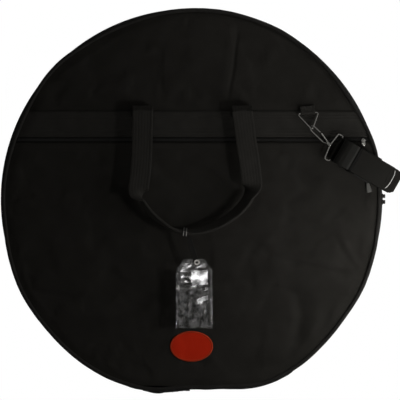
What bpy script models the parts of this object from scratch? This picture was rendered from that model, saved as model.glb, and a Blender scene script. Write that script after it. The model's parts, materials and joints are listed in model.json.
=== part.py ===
"""Round padded cymbal bag, lying on its back.

Metres, +Z up. The origin is on the bag's axis at the underside of the back panel, +Y is the top of the bag
as it is carried, and the front panel looks to +Z. The zipper runs round most of the side wall, and the front is a
flap that opens about the fold line between the zipper's two ends.
"""

import math

import bmesh
import bpy
from mathutils import Matrix, Vector

# Clearances
GAP = 0.0003
SLIDE_GAP = 0.0007
OVERRUN = 0.010

# Round shape of the bag
SEAM_RADIUS = 0.286
BULGE = 0.014
FRONT_Z = 0.062
FOLD_FROM_RIM = 0.0957
RIM_STEPS = 72
PIPING_RADIUS = 0.0033
PIPING_SIDES = 8
BACK_PIPING_Z = 0.0038
GUSSET_THICKNESS = 0.003
GUSSET_ARC_STEPS = 6

# Flat layers of the two panels
FRONT_SKIN = 0.002
FRONT_FOAM = 0.008
LINING = 0.001
LINING_INSET = 0.002
BACK_PANEL = 0.010
BACK_FOAM = 0.003
POCKET_SKIN = 0.0018
POCKET_EDGE_Y = 0.0898

# Main zipper, round the gusset above the fold line
TAPE_HALF_WIDTH = 0.011
TAPE_THICKNESS = 0.0012
TAPE_DEPTH = 0.0006
MAIN_COIL_WIDTH = 0.003
MAIN_COIL_INNER = 0.0011
MAIN_COIL_OUTER = 0.0014
CHAIN_PAST_FOLD = 0.032
CHAIN_END_RISE = 0.0016
STOP_LENGTH = 0.026
STOP_HEIGHT = 0.020
STOP_RISE = 0.0024
MAIN_MEET_Y = 0.0007
MAIN_SLIDER_ROOM = 0.0004
MAIN_SLIDER_LENGTH = 0.0082
MAIN_SLIDER_HEIGHT = 0.0105
MAIN_SLIDER_PLATE = 0.0018
MAIN_SLIDER_FLANGE = 0.0012
MAIN_PULL_LENGTH = 0.024
MAIN_PULL_WIDTH = 0.0070
MAIN_PULL_THICKNESS = 0.0014

# Overlap of the gusset's ends, at the bottom of the bag
JOIN_START = math.radians(-102)
JOIN_END = math.radians(-90.5)
JOIN_THICKNESS = 0.0016
JOIN_ARC = math.radians(44)

# Pocket zipper, between the belt and the pocket panel
POCKET_ZIP_Y = 0.094
POCKET_TAPE_WIDTH = 0.0078
POCKET_TAPE_THICKNESS = 0.0006
POCKET_COIL_WIDTH = 0.0048
POCKET_COIL_HEIGHT = 0.0018
POCKET_SLIDER_FROM_RIM = 0.0365
POCKET_SLIDER_LENGTH = 0.011
POCKET_SLIDER_WIDTH = 0.0085
POCKET_SLIDER_PLATE = 0.0022
POCKET_PULL_WIDTH = 0.0032
POCKET_PULL_THICKNESS = 0.0010
POCKET_PULL_LENGTH = 0.0615
POCKET_PULL_DRIFT = 0.0130
POCKET_GRIP_LENGTH = 0.0176
POCKET_GRIP_WIDE = 0.0095
POCKET_GRIP_NARROW = 0.0040
POCKET_GRIP_THICKNESS = 0.0020

# Belt across the front, and the handle sewn in behind it
BELT_LOW_Y = 0.098
BELT_HIGH_Y = 0.139
BELT_THICKNESS = 0.0018
HANDLE_WEB = 0.032
HANDLE_THICKNESS = 0.0021
HANDLE_FOLD_Y = 0.143
HANDLE_FOLD_RADIUS = 0.0040
HANDLE_BEND_RADIUS = 0.0024
HANDLE_STAND = 0.0186
HANDLE_LEFT_X = -0.0765
HANDLE_RIGHT_X = 0.0795
HANDLE_REACH = 0.1913
HANDLE_EDGE_DROP = 0.0040
HANDLE_LEAN = math.radians(10)
FOLD_STEPS = 16
# Front handle: points of its centre line from the left fold to the right one, as shares of half its span, of its
# reach down from the belt, and of its turn onto its edge
HANDLE_ROUTE_SHARES = (
    (-1.0, 0.0, 0.0),
    (-1.006, 0.099, 0.0),
    (-1.013, 0.257, 0.0),
    (-1.032, 0.415, 0.0),
    (-1.064, 0.531, 0.03),
    (-1.090, 0.620, 0.20),
    (-1.070, 0.700, 0.55),
    (-0.994, 0.773, 0.85),
    (-0.840, 0.847, 1.0),
    (-0.635, 0.921, 1.0),
    (-0.404, 0.976, 1.0),
    (-0.147, 1.0, 1.0),
    (0.147, 0.992, 1.0),
    (0.455, 0.950, 1.0),
    (0.699, 0.895, 1.0),
    (0.904, 0.831, 1.0),
    (1.071, 0.760, 0.90),
    (1.173, 0.689, 0.60),
    (1.205, 0.615, 0.28),
    (1.186, 0.531, 0.06),
    (1.141, 0.415, 0.0),
    (1.083, 0.257, 0.0),
    (1.032, 0.099, 0.0),
    (1.0, 0.0, 0.0),
)
HANDLE_LOW_POINT = 11

# Luggage tag, with its places counted from the handle's lowest point, held off the bag's front by the handle
TAG_STAND = 0.0276
TAG_LOOP_WIDTH = 0.007
TAG_LOOP_THICKNESS = 0.0009
TAG_LOOP_ROOM = 0.0010
TAG_STRAP_TOP = (0.0044, -0.0054)
TAG_STRAP_END = (0.0203, -0.0530)
TAG_STRAP_WIDTH = 0.008
TAG_STRAP_THICKNESS = 0.0011
TAG_POUCH_LEFT = -0.0144
TAG_POUCH_RIGHT = 0.0426
TAG_POUCH_TOP = -0.0420
TAG_POUCH_BOTTOM = -0.1506
TAG_POUCH_THICKNESS = 0.0026
TAG_POUCH_CHAMFER_X = 0.0125
TAG_POUCH_CHAMFER_Y = 0.0180
TAG_POUCH_BORDER = 0.0035
TAG_SLOT = 0.0012
TAG_CARD_THICKNESS = 0.0005
TAG_CARD_TOP = -0.0630
TAG_EYELET = (0.0187, -0.0475)
TAG_EYELET_BORE = 0.0018
TAG_EYELET_TUBE = 0.0026
TAG_EYELET_FLANGE = 0.0046
TAG_EYELET_RIM = 0.0008

# Badge patch
BADGE_FROM_RIM = 0.069
BADGE_LENGTH = 0.067
BADGE_HEIGHT = 0.0475
BADGE_THICKNESS = 0.0015
BADGE_STEPS = 40

# Triangular wire ring in its webbing loop at the belt
RING_FROM_RIM = 0.1171
RING_ON_BELT = 0.0030
RING_TURN = math.radians(4.3)
RING_WIRE = 0.0012
RING_HALF_BAR = 0.0168
RING_APEX_X = 0.0050
RING_APEX_Y = -0.0275
RING_APEX_LIFT = 0.0056
RING_CORNER_RADIUS = 0.0022
RING_ROOM = 0.0005
RING_LOOP_WALL = 0.0018
RING_LOOP_LENGTH = 0.023
RING_TAIL = 0.0150

# Shoulder strap, folded into a bundle that lies across the rim of the flap
BUNDLE_FROM_RIM = 0.0236
BUNDLE_Y = 0.0512
BUNDLE_RISE = 0.0026
BUNDLE_TURN = math.radians(-30)
BUNDLE_TILT = math.radians(5)
BUNDLE_LENGTH = 0.104
STRAP_WIDTH = 0.040
STRAP_THICKNESS = 0.0013
STRAP_PITCH = 0.0017
STRAP_LAYERS = 12
STRAP_BEND_STEPS = 3
ADJUSTER_LAYER = 4
ADJUSTER_ROOM = 0.0030
HOOK_LAYER = 7
HOOK_ROOM = 0.0036
STRAP_EYE_REACH = 0.0053
STRAP_EYE_WALL = 0.0018
ADJUSTER_LENGTH = 0.026
ADJUSTER_WIDTH = 0.044
ADJUSTER_BAR = 0.0040
ADJUSTER_THICKNESS = 0.0022
INNER_HOOK_LENGTH = 0.046
INNER_HOOK_WIDTH = 0.014
INNER_HOOK_WIRE = 0.0013
TIE_PLACE = -0.0260
TIE_WIDTH = 0.0080
TIE_THICKNESS = 0.0012

# Swivel eye and snap hook between the strap and the ring
EYE_WIRE = 0.0013
EYE_ROOM = 0.0005
EYE_HALF_WIDTH = 0.0222
EYE_SHOULDER = 0.0080
EYE_NECK = 0.0105
EYE_NECK_HALF = 0.0045
EYE_CORNER_RADIUS = 0.0020
EYE_BOSS_RADIUS = 0.0032
EYE_BOSS_LENGTH = 0.0030
EYE_BOSS_REACH = 0.0115
HOOK_PAST_RING = Vector((-0.0025, 0.0031, -0.0034))
HOOK_ROLL = math.radians(55)
HOOK_WIRE = 0.0012
HOOK_HALF_WIDTH = 0.0068
HOOK_HEAD_RADIUS = 0.0030
HOOK_HEAD_LENGTH = 0.0040
HOOK_NOSE = 0.0120
GATE_ROOT = 0.0060
GATE_ROOT_HALF = 0.0040
GATE_END_ROOM = 0.0006
WIRE_SIDES = 8

# Back side: belt, handle and ring lie in channels pressed into the padded back panel
CHANNEL_ROOM = 0.0004
BACK_HANDLE_LOW_Z = 0.0002
BACK_HANDLE_THICKNESS = 0.0018
BACK_HANDLE_REACH = 0.190
BACK_HANDLE_CHAMFER = 0.034
BACK_BELT_THICKNESS = 0.0018
BACK_HANDLE_HALF_SPAN = 0.078
BACK_BELT_MARGIN = 0.0060


def material(name, colour, roughness, metallic=0.0, alpha=1.0):
    made = bpy.data.materials.new(name)
    made.use_nodes = True
    shader = made.node_tree.nodes["Principled BSDF"]
    shader.inputs["Base Color"].default_value = (*colour, 1.0)
    shader.inputs["Roughness"].default_value = roughness
    shader.inputs["Metallic"].default_value = metallic
    shader.inputs["Alpha"].default_value = alpha
    return made


def make_materials():
    """The colours and finishes of the bag, one material for each kind of stuff."""
    return {
        "nylon": material("black_nylon", (0.012, 0.011, 0.010), 0.75),
        "webbing": material("black_webbing", (0.016, 0.015, 0.014), 0.65),
        "piping": material("black_piping", (0.010, 0.010, 0.010), 0.55),
        "lining": material("black_lining", (0.018, 0.018, 0.020), 0.8),
        "foam": material("grey_foam", (0.20, 0.20, 0.21), 0.9),
        "coil": material("zip_coil", (0.05, 0.05, 0.05), 0.4),
        "metal": material("nickel_wire", (0.60, 0.59, 0.57), 0.28, metallic=1.0),
        "plastic": material("black_plastic", (0.015, 0.015, 0.015), 0.45),
        "elastic": material("black_elastic", (0.014, 0.014, 0.015), 0.7),
        "badge": material("red_patch", (0.45, 0.02, 0.03), 0.6),
        "vinyl": material("clear_vinyl", (0.75, 0.76, 0.77), 0.15, alpha=0.35),
        "card": material("grey_card", (0.045, 0.045, 0.044), 0.6),
    }


MATERIALS = {}


def add_object(name, bm, stuff, sharp=math.radians(40)):
    """Closes off a bmesh as a named object with faces pointing out."""
    bmesh.ops.recalc_face_normals(bm, faces=bm.faces)
    mesh = bpy.data.meshes.new(name)
    bm.to_mesh(mesh)
    bm.free()
    mesh.materials.append(MATERIALS[stuff])
    mesh.shade_smooth()
    mesh.set_sharp_from_angle(angle=sharp)
    obj = bpy.data.objects.new(name, mesh)
    bpy.context.scene.collection.objects.link(obj)
    return obj


def loft(name, rings, stuff, cyclic=False, place=None):
    """Skins rings of points that have equal counts; open ends are capped, and place maps local to world."""
    bm = bmesh.new()
    rows = [[bm.verts.new(place @ Vector(p) if place else p) for p in ring] for ring in rings]
    pairs = list(zip(rows, rows[1:]))
    if cyclic:
        pairs.append((rows[-1], rows[0]))
    else:
        bm.faces.new(rows[0])
        bm.faces.new(rows[-1])
    for low, high in pairs:
        for i in range(len(low)):
            j = (i + 1) % len(low)
            bm.faces.new((low[i], low[j], high[j], high[i]))
    return add_object(name, bm, stuff)


def prism(name, outline, low, high, stuff, place=None):
    """An outline in X and Y, extruded between two heights."""
    rings = [[(x, y, z) for x, y in outline] for z in (low, high)]
    return loft(name, rings, stuff, place=place)


def circle(radius, steps=RIM_STEPS, centre=(0.0, 0.0)):
    turns = [math.tau * i / steps for i in range(steps)]
    return [(centre[0] + radius * math.cos(a), centre[1] + radius * math.sin(a)) for a in turns]


def disc(name, radius, low, high, stuff):
    return prism(name, circle(radius), low, high, stuff)


def turned(name, profile, stuff, steps=RIM_STEPS):
    """A closed outline of (radius, height) swept right round the bag's axis."""
    rings = []
    for i in range(steps):
        a = math.tau * i / steps
        rings.append([(r * math.cos(a), r * math.sin(a), z) for r, z in profile])
    return loft(name, rings, stuff, cyclic=True)


def turned_part(name, profile, start, end, steps, stuff):
    """A closed outline of (radius, height) swept round the bag's axis from one angle to another."""
    rings = []
    for i in range(steps + 1):
        a = start + (end - start) * i / steps
        rings.append([(r * math.cos(a), r * math.sin(a), z) for r, z in profile])
    return loft(name, rings, stuff)


def box(name, low, high, stuff, place=None):
    outline = [(low[0], low[1]), (high[0], low[1]), (high[0], high[1]), (low[0], high[1])]
    return prism(name, outline, low[2], high[2], stuff, place=place)


def rounded(points, radius, steps=4):
    """A closed outline in the plane with each corner replaced by an arc."""
    made = []
    count = len(points)
    for i, point in enumerate(points):
        here = Vector(point)
        back = (Vector(points[i - 1]) - here).normalized()
        on = (Vector(points[(i + 1) % count]) - here).normalized()
        half = back.angle(on) / 2
        reach = radius / math.tan(half)
        centre = here + (back + on).normalized() * (radius / math.sin(half))
        first = here + back * reach - centre
        last = here + on * reach - centre
        swing = math.pi - 2 * half
        turn = math.copysign(swing, first.x * last.y - first.y * last.x)
        for k in range(steps + 1):
            a = turn * k / steps
            made.append((
                centre.x + first.x * math.cos(a) - first.y * math.sin(a),
                centre.y + first.x * math.sin(a) + first.y * math.cos(a),
            ))
    return made


def wire(name, points, radius, stuff, cyclic=False, sides=WIRE_SIDES, place=None):
    """A round wire along points in the X, Y plane of its own frame."""
    count = len(points)
    rings = []
    for i, point in enumerate(points):
        here = Vector((point[0], point[1], 0.0))
        before = Vector((*points[i - 1 if cyclic else max(i - 1, 0)], 0.0))
        after = Vector((*points[(i + 1) % count if cyclic else min(i + 1, count - 1)], 0.0))
        tangent = (after - before).normalized()
        side = Vector((-tangent.y, tangent.x, 0.0))
        ring = []
        for k in range(sides):
            a = math.tau * (k + 0.5) / sides
            ring.append(here + side * (radius * math.cos(a)) + Vector((0, 0, radius * math.sin(a))))
        rings.append(ring)
    return loft(name, rings, stuff, cyclic=cyclic, place=place)


def round_bar(name, radius, start, end, stuff, steps=16):
    """A round bar between two points."""
    along = Vector(end) - Vector(start)
    turn = along.to_track_quat("Z", "Y").to_matrix().to_4x4()
    place = Matrix.Translation(start) @ turn
    return prism(name, circle(radius, steps), 0.0, along.length, stuff, place=place)


def modify(obj, other, operation):
    """Joins or cuts an object with a helper, which is left out of the part."""
    boolean = obj.modifiers.new(f"{operation.lower()}_{other.name}", "BOOLEAN")
    boolean.operation = operation
    boolean.solver = "EXACT"
    boolean.object = other
    other.hide_render = True
    other.display_type = "WIRE"
    return obj


def cut(obj, *cutters):
    for cutter in cutters:
        modify(obj, cutter, "DIFFERENCE")
    return obj


def join(obj, *others):
    for other in others:
        modify(obj, other, "UNION")
    return obj


def pivot(name, location, rotation=(0.0, 0.0, 0.0)):
    empty = bpy.data.objects.new(name, None)
    empty.location = location
    empty.rotation_euler = rotation
    bpy.context.scene.collection.objects.link(empty)
    return empty


def hang(empty, *objects):
    """Parents objects that were modelled in place to an empty on their joint's axis."""
    bpy.context.view_layer.update()
    back = empty.matrix_world.inverted()
    for obj in objects:
        obj.data.transform(back)
        obj.parent = empty


# Shape of the gusset: an arc that bulges out between the two seams

GUSSET_MID_Z = (FRONT_Z + BACK_PIPING_Z) / 2
GUSSET_END_RISE = FRONT_Z - PIPING_RADIUS - GAP - GUSSET_MID_Z
GUSSET_RADIUS = (GUSSET_END_RISE**2 + BULGE**2) / (2 * BULGE)
GUSSET_CENTRE = SEAM_RADIUS + BULGE - GUSSET_RADIUS
GUSSET_ARC = math.asin(GUSSET_END_RISE / GUSSET_RADIUS)
PANEL_RADIUS = SEAM_RADIUS - PIPING_RADIUS - GAP
RIM_RADIUS = SEAM_RADIUS + BULGE
FOLD_Y = FOLD_FROM_RIM - RIM_RADIUS
BADGE_Y = BADGE_FROM_RIM - RIM_RADIUS

# Heights of the layers on the front panel
TOP_LAYER_Z = FRONT_Z + GAP
BELT_TOP = TOP_LAYER_Z + BELT_THICKNESS
POCKET_TOP = TOP_LAYER_Z + POCKET_SKIN
ON_POCKET = POCKET_TOP + GAP
PIPING_TOP = FRONT_Z + PIPING_RADIUS

# Pocket slider and the end of its pull
POCKET_SLIDER_X = RIM_RADIUS - POCKET_SLIDER_FROM_RIM
POCKET_PULL_END_X = POCKET_SLIDER_X + POCKET_PULL_DRIFT

# The handle stands up from its folds behind the belt and bends over to its legs
HANDLE_FOLD_Z = BELT_TOP + GAP + HANDLE_FOLD_RADIUS
HANDLE_BEND_Z = HANDLE_FOLD_Z + HANDLE_STAND
HANDLE_FLAT_Z = HANDLE_BEND_Z + HANDLE_THICKNESS / 2
HANDLE_EDGE_Z = HANDLE_FLAT_Z - HANDLE_EDGE_DROP
HANDLE_TOP_Y = HANDLE_FOLD_Y - HANDLE_BEND_RADIUS - GAP


def handle_route():
    """Points of the handle's centre line over the bag."""
    middle = (HANDLE_LEFT_X + HANDLE_RIGHT_X) / 2
    half = (HANDLE_RIGHT_X - HANDLE_LEFT_X) / 2
    return [(middle + x * half, HANDLE_TOP_Y - y * HANDLE_REACH) for x, y, _ in HANDLE_ROUTE_SHARES]


HANDLE_LOW = handle_route()[HANDLE_LOW_POINT]

# Ring bar, held in its loop on the belt
RING_X = RIM_RADIUS - RING_FROM_RIM
RING_Y = BELT_HIGH_Y - RING_ON_BELT
RING_BAR_Z = BELT_TOP + GAP + RING_WIRE + RING_ROOM + RING_LOOP_WALL
BACK_RING_X = -RING_X


def ring_outline():
    corners = [(-RING_HALF_BAR, 0.0), (RING_APEX_X, RING_APEX_Y), (RING_HALF_BAR, 0.0)]
    return rounded(corners, RING_CORNER_RADIUS)


def front_ring_places():
    """Frames of the front ring's bar: level, and with the ring's tip raised over the hook."""
    level = Matrix.Translation((RING_X, RING_Y, RING_BAR_Z)) @ Matrix.Rotation(RING_TURN, 4, "Z")
    lift = math.asin(RING_APEX_LIFT / abs(RING_APEX_Y))
    return level, level @ Matrix.Rotation(-lift, 4, "X")


RING_TIP = front_ring_places()[1] @ Vector((*min(ring_outline(), key=lambda point: point[1]), 0.0))

# Bundle's own frame: +X along the bundle away from the hook, +Z out of the folds
BUNDLE_FRAME = (
    Matrix.Translation((RIM_RADIUS - BUNDLE_FROM_RIM, BUNDLE_Y, PIPING_TOP + BUNDLE_RISE))
    @ Matrix.Rotation(BUNDLE_TURN, 4, "Z")
    @ Matrix.Rotation(BUNDLE_TILT, 4, "Y")
)
EYE_HOLE_RADIUS = EYE_WIRE + EYE_ROOM
EYE_BAR_X = -BUNDLE_LENGTH / 2 - STRAP_EYE_REACH
EYE_BAR_Z = EYE_HOLE_RADIUS + STRAP_EYE_WALL
EYE_BOSS = BUNDLE_FRAME @ Vector((EYE_BAR_X - EYE_BOSS_REACH, 0.0, EYE_BAR_Z))

# Hook's own frame: origin at its head, +X towards the tip, +Y across the hook on its upper side
HOOK_TIP = RING_TIP + HOOK_PAST_RING
HOOK_AXIS = (HOOK_TIP - EYE_BOSS).normalized()
HOOK_LENGTH = (HOOK_TIP - EYE_BOSS).length


def hook_frame():
    level = Vector((0, 0, 1)).cross(HOOK_AXIS).normalized() * -1
    lift = HOOK_AXIS.cross(level).normalized()
    if lift.z < 0:
        lift = -lift
    across = level * math.cos(HOOK_ROLL) + lift * math.sin(HOOK_ROLL)
    normal = HOOK_AXIS.cross(across)
    turn = Matrix((HOOK_AXIS, across, normal)).transposed().to_4x4()
    return Matrix.Translation(EYE_BOSS) @ turn


def gusset_profile(low, high, steps, outer=0.0, thickness=GUSSET_THICKNESS):
    """Outline of a strip that follows the gusset's arc between two angles, set out from its outer face."""
    made = []
    for radius in (GUSSET_RADIUS + outer, GUSSET_RADIUS + outer - thickness):
        arc = []
        for i in range(steps + 1):
            t = low + (high - low) * i / steps
            arc.append((GUSSET_CENTRE + radius * math.cos(t), GUSSET_MID_Z + radius * math.sin(t)))
        made += arc if not made else arc[::-1]
    return made


def half_cutter(name, upper):
    """A block over the half of the bag that is to be cut away."""
    reach = RIM_RADIUS + OVERRUN
    near = FOLD_Y - GAP / 2 if upper else FOLD_Y + GAP / 2
    far = reach if upper else -reach
    low_y, high_y = sorted((near, far))
    low = (-reach, low_y, -OVERRUN)
    high = (reach, high_y, FRONT_Z + OVERRUN + OVERRUN)
    return box(name, low, high, "foam")


class Halves:
    """The two blocks that split a layer of the bag at the fold line of its flap."""

    def __init__(self):
        self.upper_block = half_cutter("upper_half_block", True)
        self.lower_block = half_cutter("lower_half_block", False)

    def lower(self, obj):
        return cut(obj, self.upper_block)

    def upper(self, obj):
        return cut(obj, self.lower_block)


def round_layer(name, low, high, radius, stuff, halves):
    halves.lower(disc(f"{name}_lower", radius, low, high, stuff))
    return halves.upper(disc(f"{name}_upper", radius, low, high, stuff))


def make_front_panel(halves):
    foam_top = FRONT_Z - FRONT_SKIN - GAP
    lining_top = foam_top - FRONT_FOAM - GAP
    lining_radius = PANEL_RADIUS - LINING_INSET
    round_layer("front_panel", FRONT_Z - FRONT_SKIN, FRONT_Z, PANEL_RADIUS, "nylon", halves)
    round_layer("front_foam", foam_top - FRONT_FOAM, foam_top, PANEL_RADIUS, "foam", halves)
    round_layer("front_lining", lining_top - LINING, lining_top, lining_radius, "lining", halves)


def piping_ring(name, height):
    turns = [math.tau * (i + 0.5) / PIPING_SIDES for i in range(PIPING_SIDES)]
    reach = PIPING_RADIUS / math.cos(math.pi / PIPING_SIDES)
    section = [(SEAM_RADIUS + reach * math.cos(a), height + reach * math.sin(a)) for a in turns]
    return turned(name, section, "piping")


def make_piping(halves):
    piping_ring("back_piping", BACK_PIPING_Z)
    halves.lower(piping_ring("front_piping_lower", FRONT_Z))
    halves.upper(piping_ring("front_piping_upper", FRONT_Z))


def make_gusset(halves):
    tape_arc = math.asin(TAPE_HALF_WIDTH / GUSSET_RADIUS)
    room = GAP / GUSSET_RADIUS
    whole = gusset_profile(-GUSSET_ARC, GUSSET_ARC, GUSSET_ARC_STEPS)
    front = gusset_profile(tape_arc + room, GUSSET_ARC, GUSSET_ARC_STEPS // 2)
    back = gusset_profile(-GUSSET_ARC, -tape_arc - room, GUSSET_ARC_STEPS // 2)
    halves.lower(turned("gusset_lower", whole, "nylon"))
    halves.upper(turned("gusset_front_upper", front, "nylon"))
    halves.upper(turned("gusset_back_upper", back, "nylon"))
    profile = gusset_profile(-JOIN_ARC, JOIN_ARC, GUSSET_ARC_STEPS, SLIDE_GAP + JOIN_THICKNESS, JOIN_THICKNESS)
    turned_part("gusset_join_cover", profile, JOIN_START, JOIN_END, 4, "nylon")


def make_main_zip(halves):
    """Both tapes and both rows of the coil, in the gusset's upper half, and the covered ends of the chain."""
    tape_arc = math.asin(TAPE_HALF_WIDTH / GUSSET_RADIUS)
    coil_arc = (GAP / 2 + MAIN_COIL_WIDTH + GAP) / GUSSET_RADIUS
    front = gusset_profile(coil_arc, tape_arc, 2, -TAPE_DEPTH, TAPE_THICKNESS)
    back = gusset_profile(-tape_arc, -coil_arc, 2, -TAPE_DEPTH, TAPE_THICKNESS)
    halves.upper(turned("main_zip_tape_front", front, "webbing"))
    halves.upper(turned("main_zip_tape_back", back, "webbing"))
    inner, outer = RIM_RADIUS - MAIN_COIL_INNER, RIM_RADIUS + MAIN_COIL_OUTER
    for name, side in (("front", 1), ("back", -1)):
        near = GUSSET_MID_Z + side * GAP / 2
        far = near + side * MAIN_COIL_WIDTH
        section = [(inner, near), (outer, near), (outer, far), (inner, far)]
        halves.upper(turned(f"main_zip_coil_{name}", section, "coil"))
    end_angle = math.asin((FOLD_Y - CHAIN_PAST_FOLD) / RIM_RADIUS)
    fold_angle = math.asin((FOLD_Y - GAP) / (RIM_RADIUS + MAIN_COIL_OUTER))
    stop_angle = end_angle - STOP_LENGTH / RIM_RADIUS
    base = RIM_RADIUS + SLIDE_GAP
    half = MAIN_COIL_WIDTH + GAP / 2
    chain = [(base, GUSSET_MID_Z - half), (base + CHAIN_END_RISE - SLIDE_GAP, GUSSET_MID_Z - half),
             (base + CHAIN_END_RISE - SLIDE_GAP, GUSSET_MID_Z + half), (base, GUSSET_MID_Z + half)]
    stop = [(base, GUSSET_MID_Z - STOP_HEIGHT / 2), (base + STOP_RISE, GUSSET_MID_Z - STOP_HEIGHT / 2),
            (base + STOP_RISE, GUSSET_MID_Z + STOP_HEIGHT / 2), (base, GUSSET_MID_Z + STOP_HEIGHT / 2)]
    room = GAP / RIM_RADIUS
    for name, right in (("right", True), ("left", False)):
        for piece, section, low, high, stuff in (
            ("main_zip_chain_end", chain, end_angle, fold_angle, "coil"),
            ("main_zip_stop", stop, stop_angle, end_angle - room, "nylon"),
        ):
            start, end = (low, high) if right else (math.pi - high, math.pi - low)
            turned_part(f"{piece}_{name}", section, start, end, 3, stuff)


def make_main_slider(name, way):
    """One of the two sliders outside the coil, where they meet, with its pull hanging down the gusset."""
    half_length = MAIN_SLIDER_LENGTH / 2
    rest = math.asin(MAIN_MEET_Y / RIM_RADIUS) + way * (half_length + MAIN_SLIDER_ROOM) / RIM_RADIUS
    place = Matrix.Rotation(rest, 4, "Z")
    inner = RIM_RADIUS + MAIN_COIL_OUTER + SLIDE_GAP
    half_height = MAIN_SLIDER_HEIGHT / 2
    plate_top = inner + MAIN_SLIDER_PLATE
    flange_in = RIM_RADIUS + SLIDE_GAP
    near = half_height - MAIN_SLIDER_FLANGE
    section = [(plate_top, -half_height), (plate_top, half_height), (flange_in, half_height), (flange_in, near),
               (inner, near), (inner, -near), (flange_in, -near), (flange_in, -half_height)]
    rings = [[(r, side * half_length, GUSSET_MID_Z + z) for r, z in section] for side in (-1, 1)]
    slider = loft(f"main_slider_{name}", rings, "metal", place=place)
    low = GUSSET_MID_Z + half_height
    eye_r = plate_top + GAP
    pull = box(f"main_pull_{name}", (eye_r, -MAIN_PULL_WIDTH / 2, low - MAIN_PULL_LENGTH),
               (eye_r + MAIN_PULL_THICKNESS, MAIN_PULL_WIDTH / 2, low), "metal", place)
    pull_z = low - MAIN_PULL_THICKNESS / 2
    hinge = place @ Vector((eye_r + MAIN_PULL_THICKNESS / 2, 0.0, pull_z))
    hang(pivot(f"main_slider_{name}_axis", (0, 0, 0)), slider)
    hang(pivot(f"main_pull_{name}_axis", hinge, (0, 0, rest)), pull)


def across_bag(name, low_y, high_y, low_z, high_z, stuff):
    """A flat layer right across the front panel, with ends that follow the piping."""
    reach = PANEL_RADIUS + OVERRUN
    strip = box(name, (-reach, low_y, low_z), (reach, high_y, high_z), stuff)
    return modify(strip, disc(f"{name}_edge", PANEL_RADIUS, low_z - OVERRUN, high_z + OVERRUN, stuff), "INTERSECT")


def make_pocket(halves):
    halves.lower(disc("pocket_panel_lower", PANEL_RADIUS, TOP_LAYER_Z, POCKET_TOP, "nylon"))
    across_bag("pocket_panel_upper", FOLD_Y + GAP / 2, POCKET_EDGE_Y, TOP_LAYER_Z, POCKET_TOP, "nylon")
    half = POCKET_TAPE_WIDTH / 2
    tape_top = TOP_LAYER_Z + POCKET_TAPE_THICKNESS
    across_bag("pocket_zip_tape", POCKET_ZIP_Y - half, POCKET_ZIP_Y + half, TOP_LAYER_Z, tape_top, "webbing")
    half = POCKET_COIL_WIDTH / 2
    low = tape_top + GAP
    across_bag("pocket_zip_coil", POCKET_ZIP_Y - half, POCKET_ZIP_Y + half, low, low + POCKET_COIL_HEIGHT, "coil")


def make_pocket_slider():
    """Slider on the pocket's coil, and its pull, a flat cord with a moulded grip, under the strap bundle."""
    low = max(TOP_LAYER_Z + POCKET_TAPE_THICKNESS + GAP + POCKET_COIL_HEIGHT, PIPING_TOP) + GAP
    half_length, half_width = POCKET_SLIDER_LENGTH / 2, POCKET_SLIDER_WIDTH / 2
    x, y = POCKET_SLIDER_X, POCKET_ZIP_Y
    outline = [(x - half_length, y - half_width), (x + half_length, y - half_width / 2),
               (x + half_length, y + half_width / 2), (x - half_length, y + half_width)]
    slider = prism("pocket_slider", outline, low, low + POCKET_SLIDER_PLATE, "metal")
    top_y = y - half_width - GAP
    grip_y = top_y - POCKET_PULL_LENGTH
    half = POCKET_PULL_WIDTH / 2
    cord_top = ON_POCKET + POCKET_PULL_THICKNESS
    outline = [(x - half, top_y), (POCKET_PULL_END_X - half, grip_y + GAP),
               (POCKET_PULL_END_X + half, grip_y + GAP), (x + half, top_y)]
    cord = prism("pocket_pull_cord", outline, ON_POCKET, cord_top, "elastic")
    end_y = grip_y - POCKET_GRIP_LENGTH
    wide, narrow = POCKET_GRIP_WIDE / 2, POCKET_GRIP_NARROW / 2
    outline = [(POCKET_PULL_END_X - narrow, grip_y), (POCKET_PULL_END_X - wide, end_y),
               (POCKET_PULL_END_X + wide, end_y), (POCKET_PULL_END_X + narrow, grip_y)]
    grip = prism("pocket_pull_grip", outline, ON_POCKET, ON_POCKET + POCKET_GRIP_THICKNESS, "plastic")
    hang(pivot("pocket_slider_axis", (x, y, low)), slider)
    hang(pivot("pocket_pull_axis", (x, top_y, cord_top)), cord, grip)


def make_belt():
    """Belt across the front, with the two tongues of the handle that are sewn in behind its upper edge."""
    belt = across_bag("front_belt", BELT_LOW_Y, BELT_HIGH_Y, TOP_LAYER_Z, BELT_TOP, "webbing")
    for name, x in (("left", HANDLE_LEFT_X), ("right", HANDLE_RIGHT_X)):
        low = (x - HANDLE_WEB / 2, BELT_HIGH_Y - HANDLE_FOLD_RADIUS, TOP_LAYER_Z)
        high = (x + HANDLE_WEB / 2, HANDLE_FOLD_Y, BELT_TOP)
        join(belt, box(f"handle_tongue_{name}", low, high, "webbing"))


def fold_outline():
    """Side view of a fold: the roll behind the belt, the webbing that stands on it, and the bend at its top."""
    made = []
    for radius, height, start in (
        (HANDLE_FOLD_RADIUS, HANDLE_FOLD_Z, math.pi / 2),
        (HANDLE_BEND_RADIUS, HANDLE_BEND_Z, -math.pi / 2),
    ):
        neck = math.asin(HANDLE_THICKNESS / 2 / radius)
        for i in range(FOLD_STEPS + 1):
            a = start + neck + (math.tau - 2 * neck) * i / FOLD_STEPS
            made.append((HANDLE_FOLD_Y + radius * math.cos(a), height + radius * math.sin(a)))
    return made


def make_handle_folds():
    """The webbing turns over behind the belt and stands up from it."""
    outline = fold_outline()
    for name, x in (("left", HANDLE_LEFT_X), ("right", HANDLE_RIGHT_X)):
        rings = [[(x + side * HANDLE_WEB / 2, y, z) for y, z in outline] for side in (-1, 1)]
        loft(f"front_handle_fold_{name}", rings, "webbing")


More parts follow.
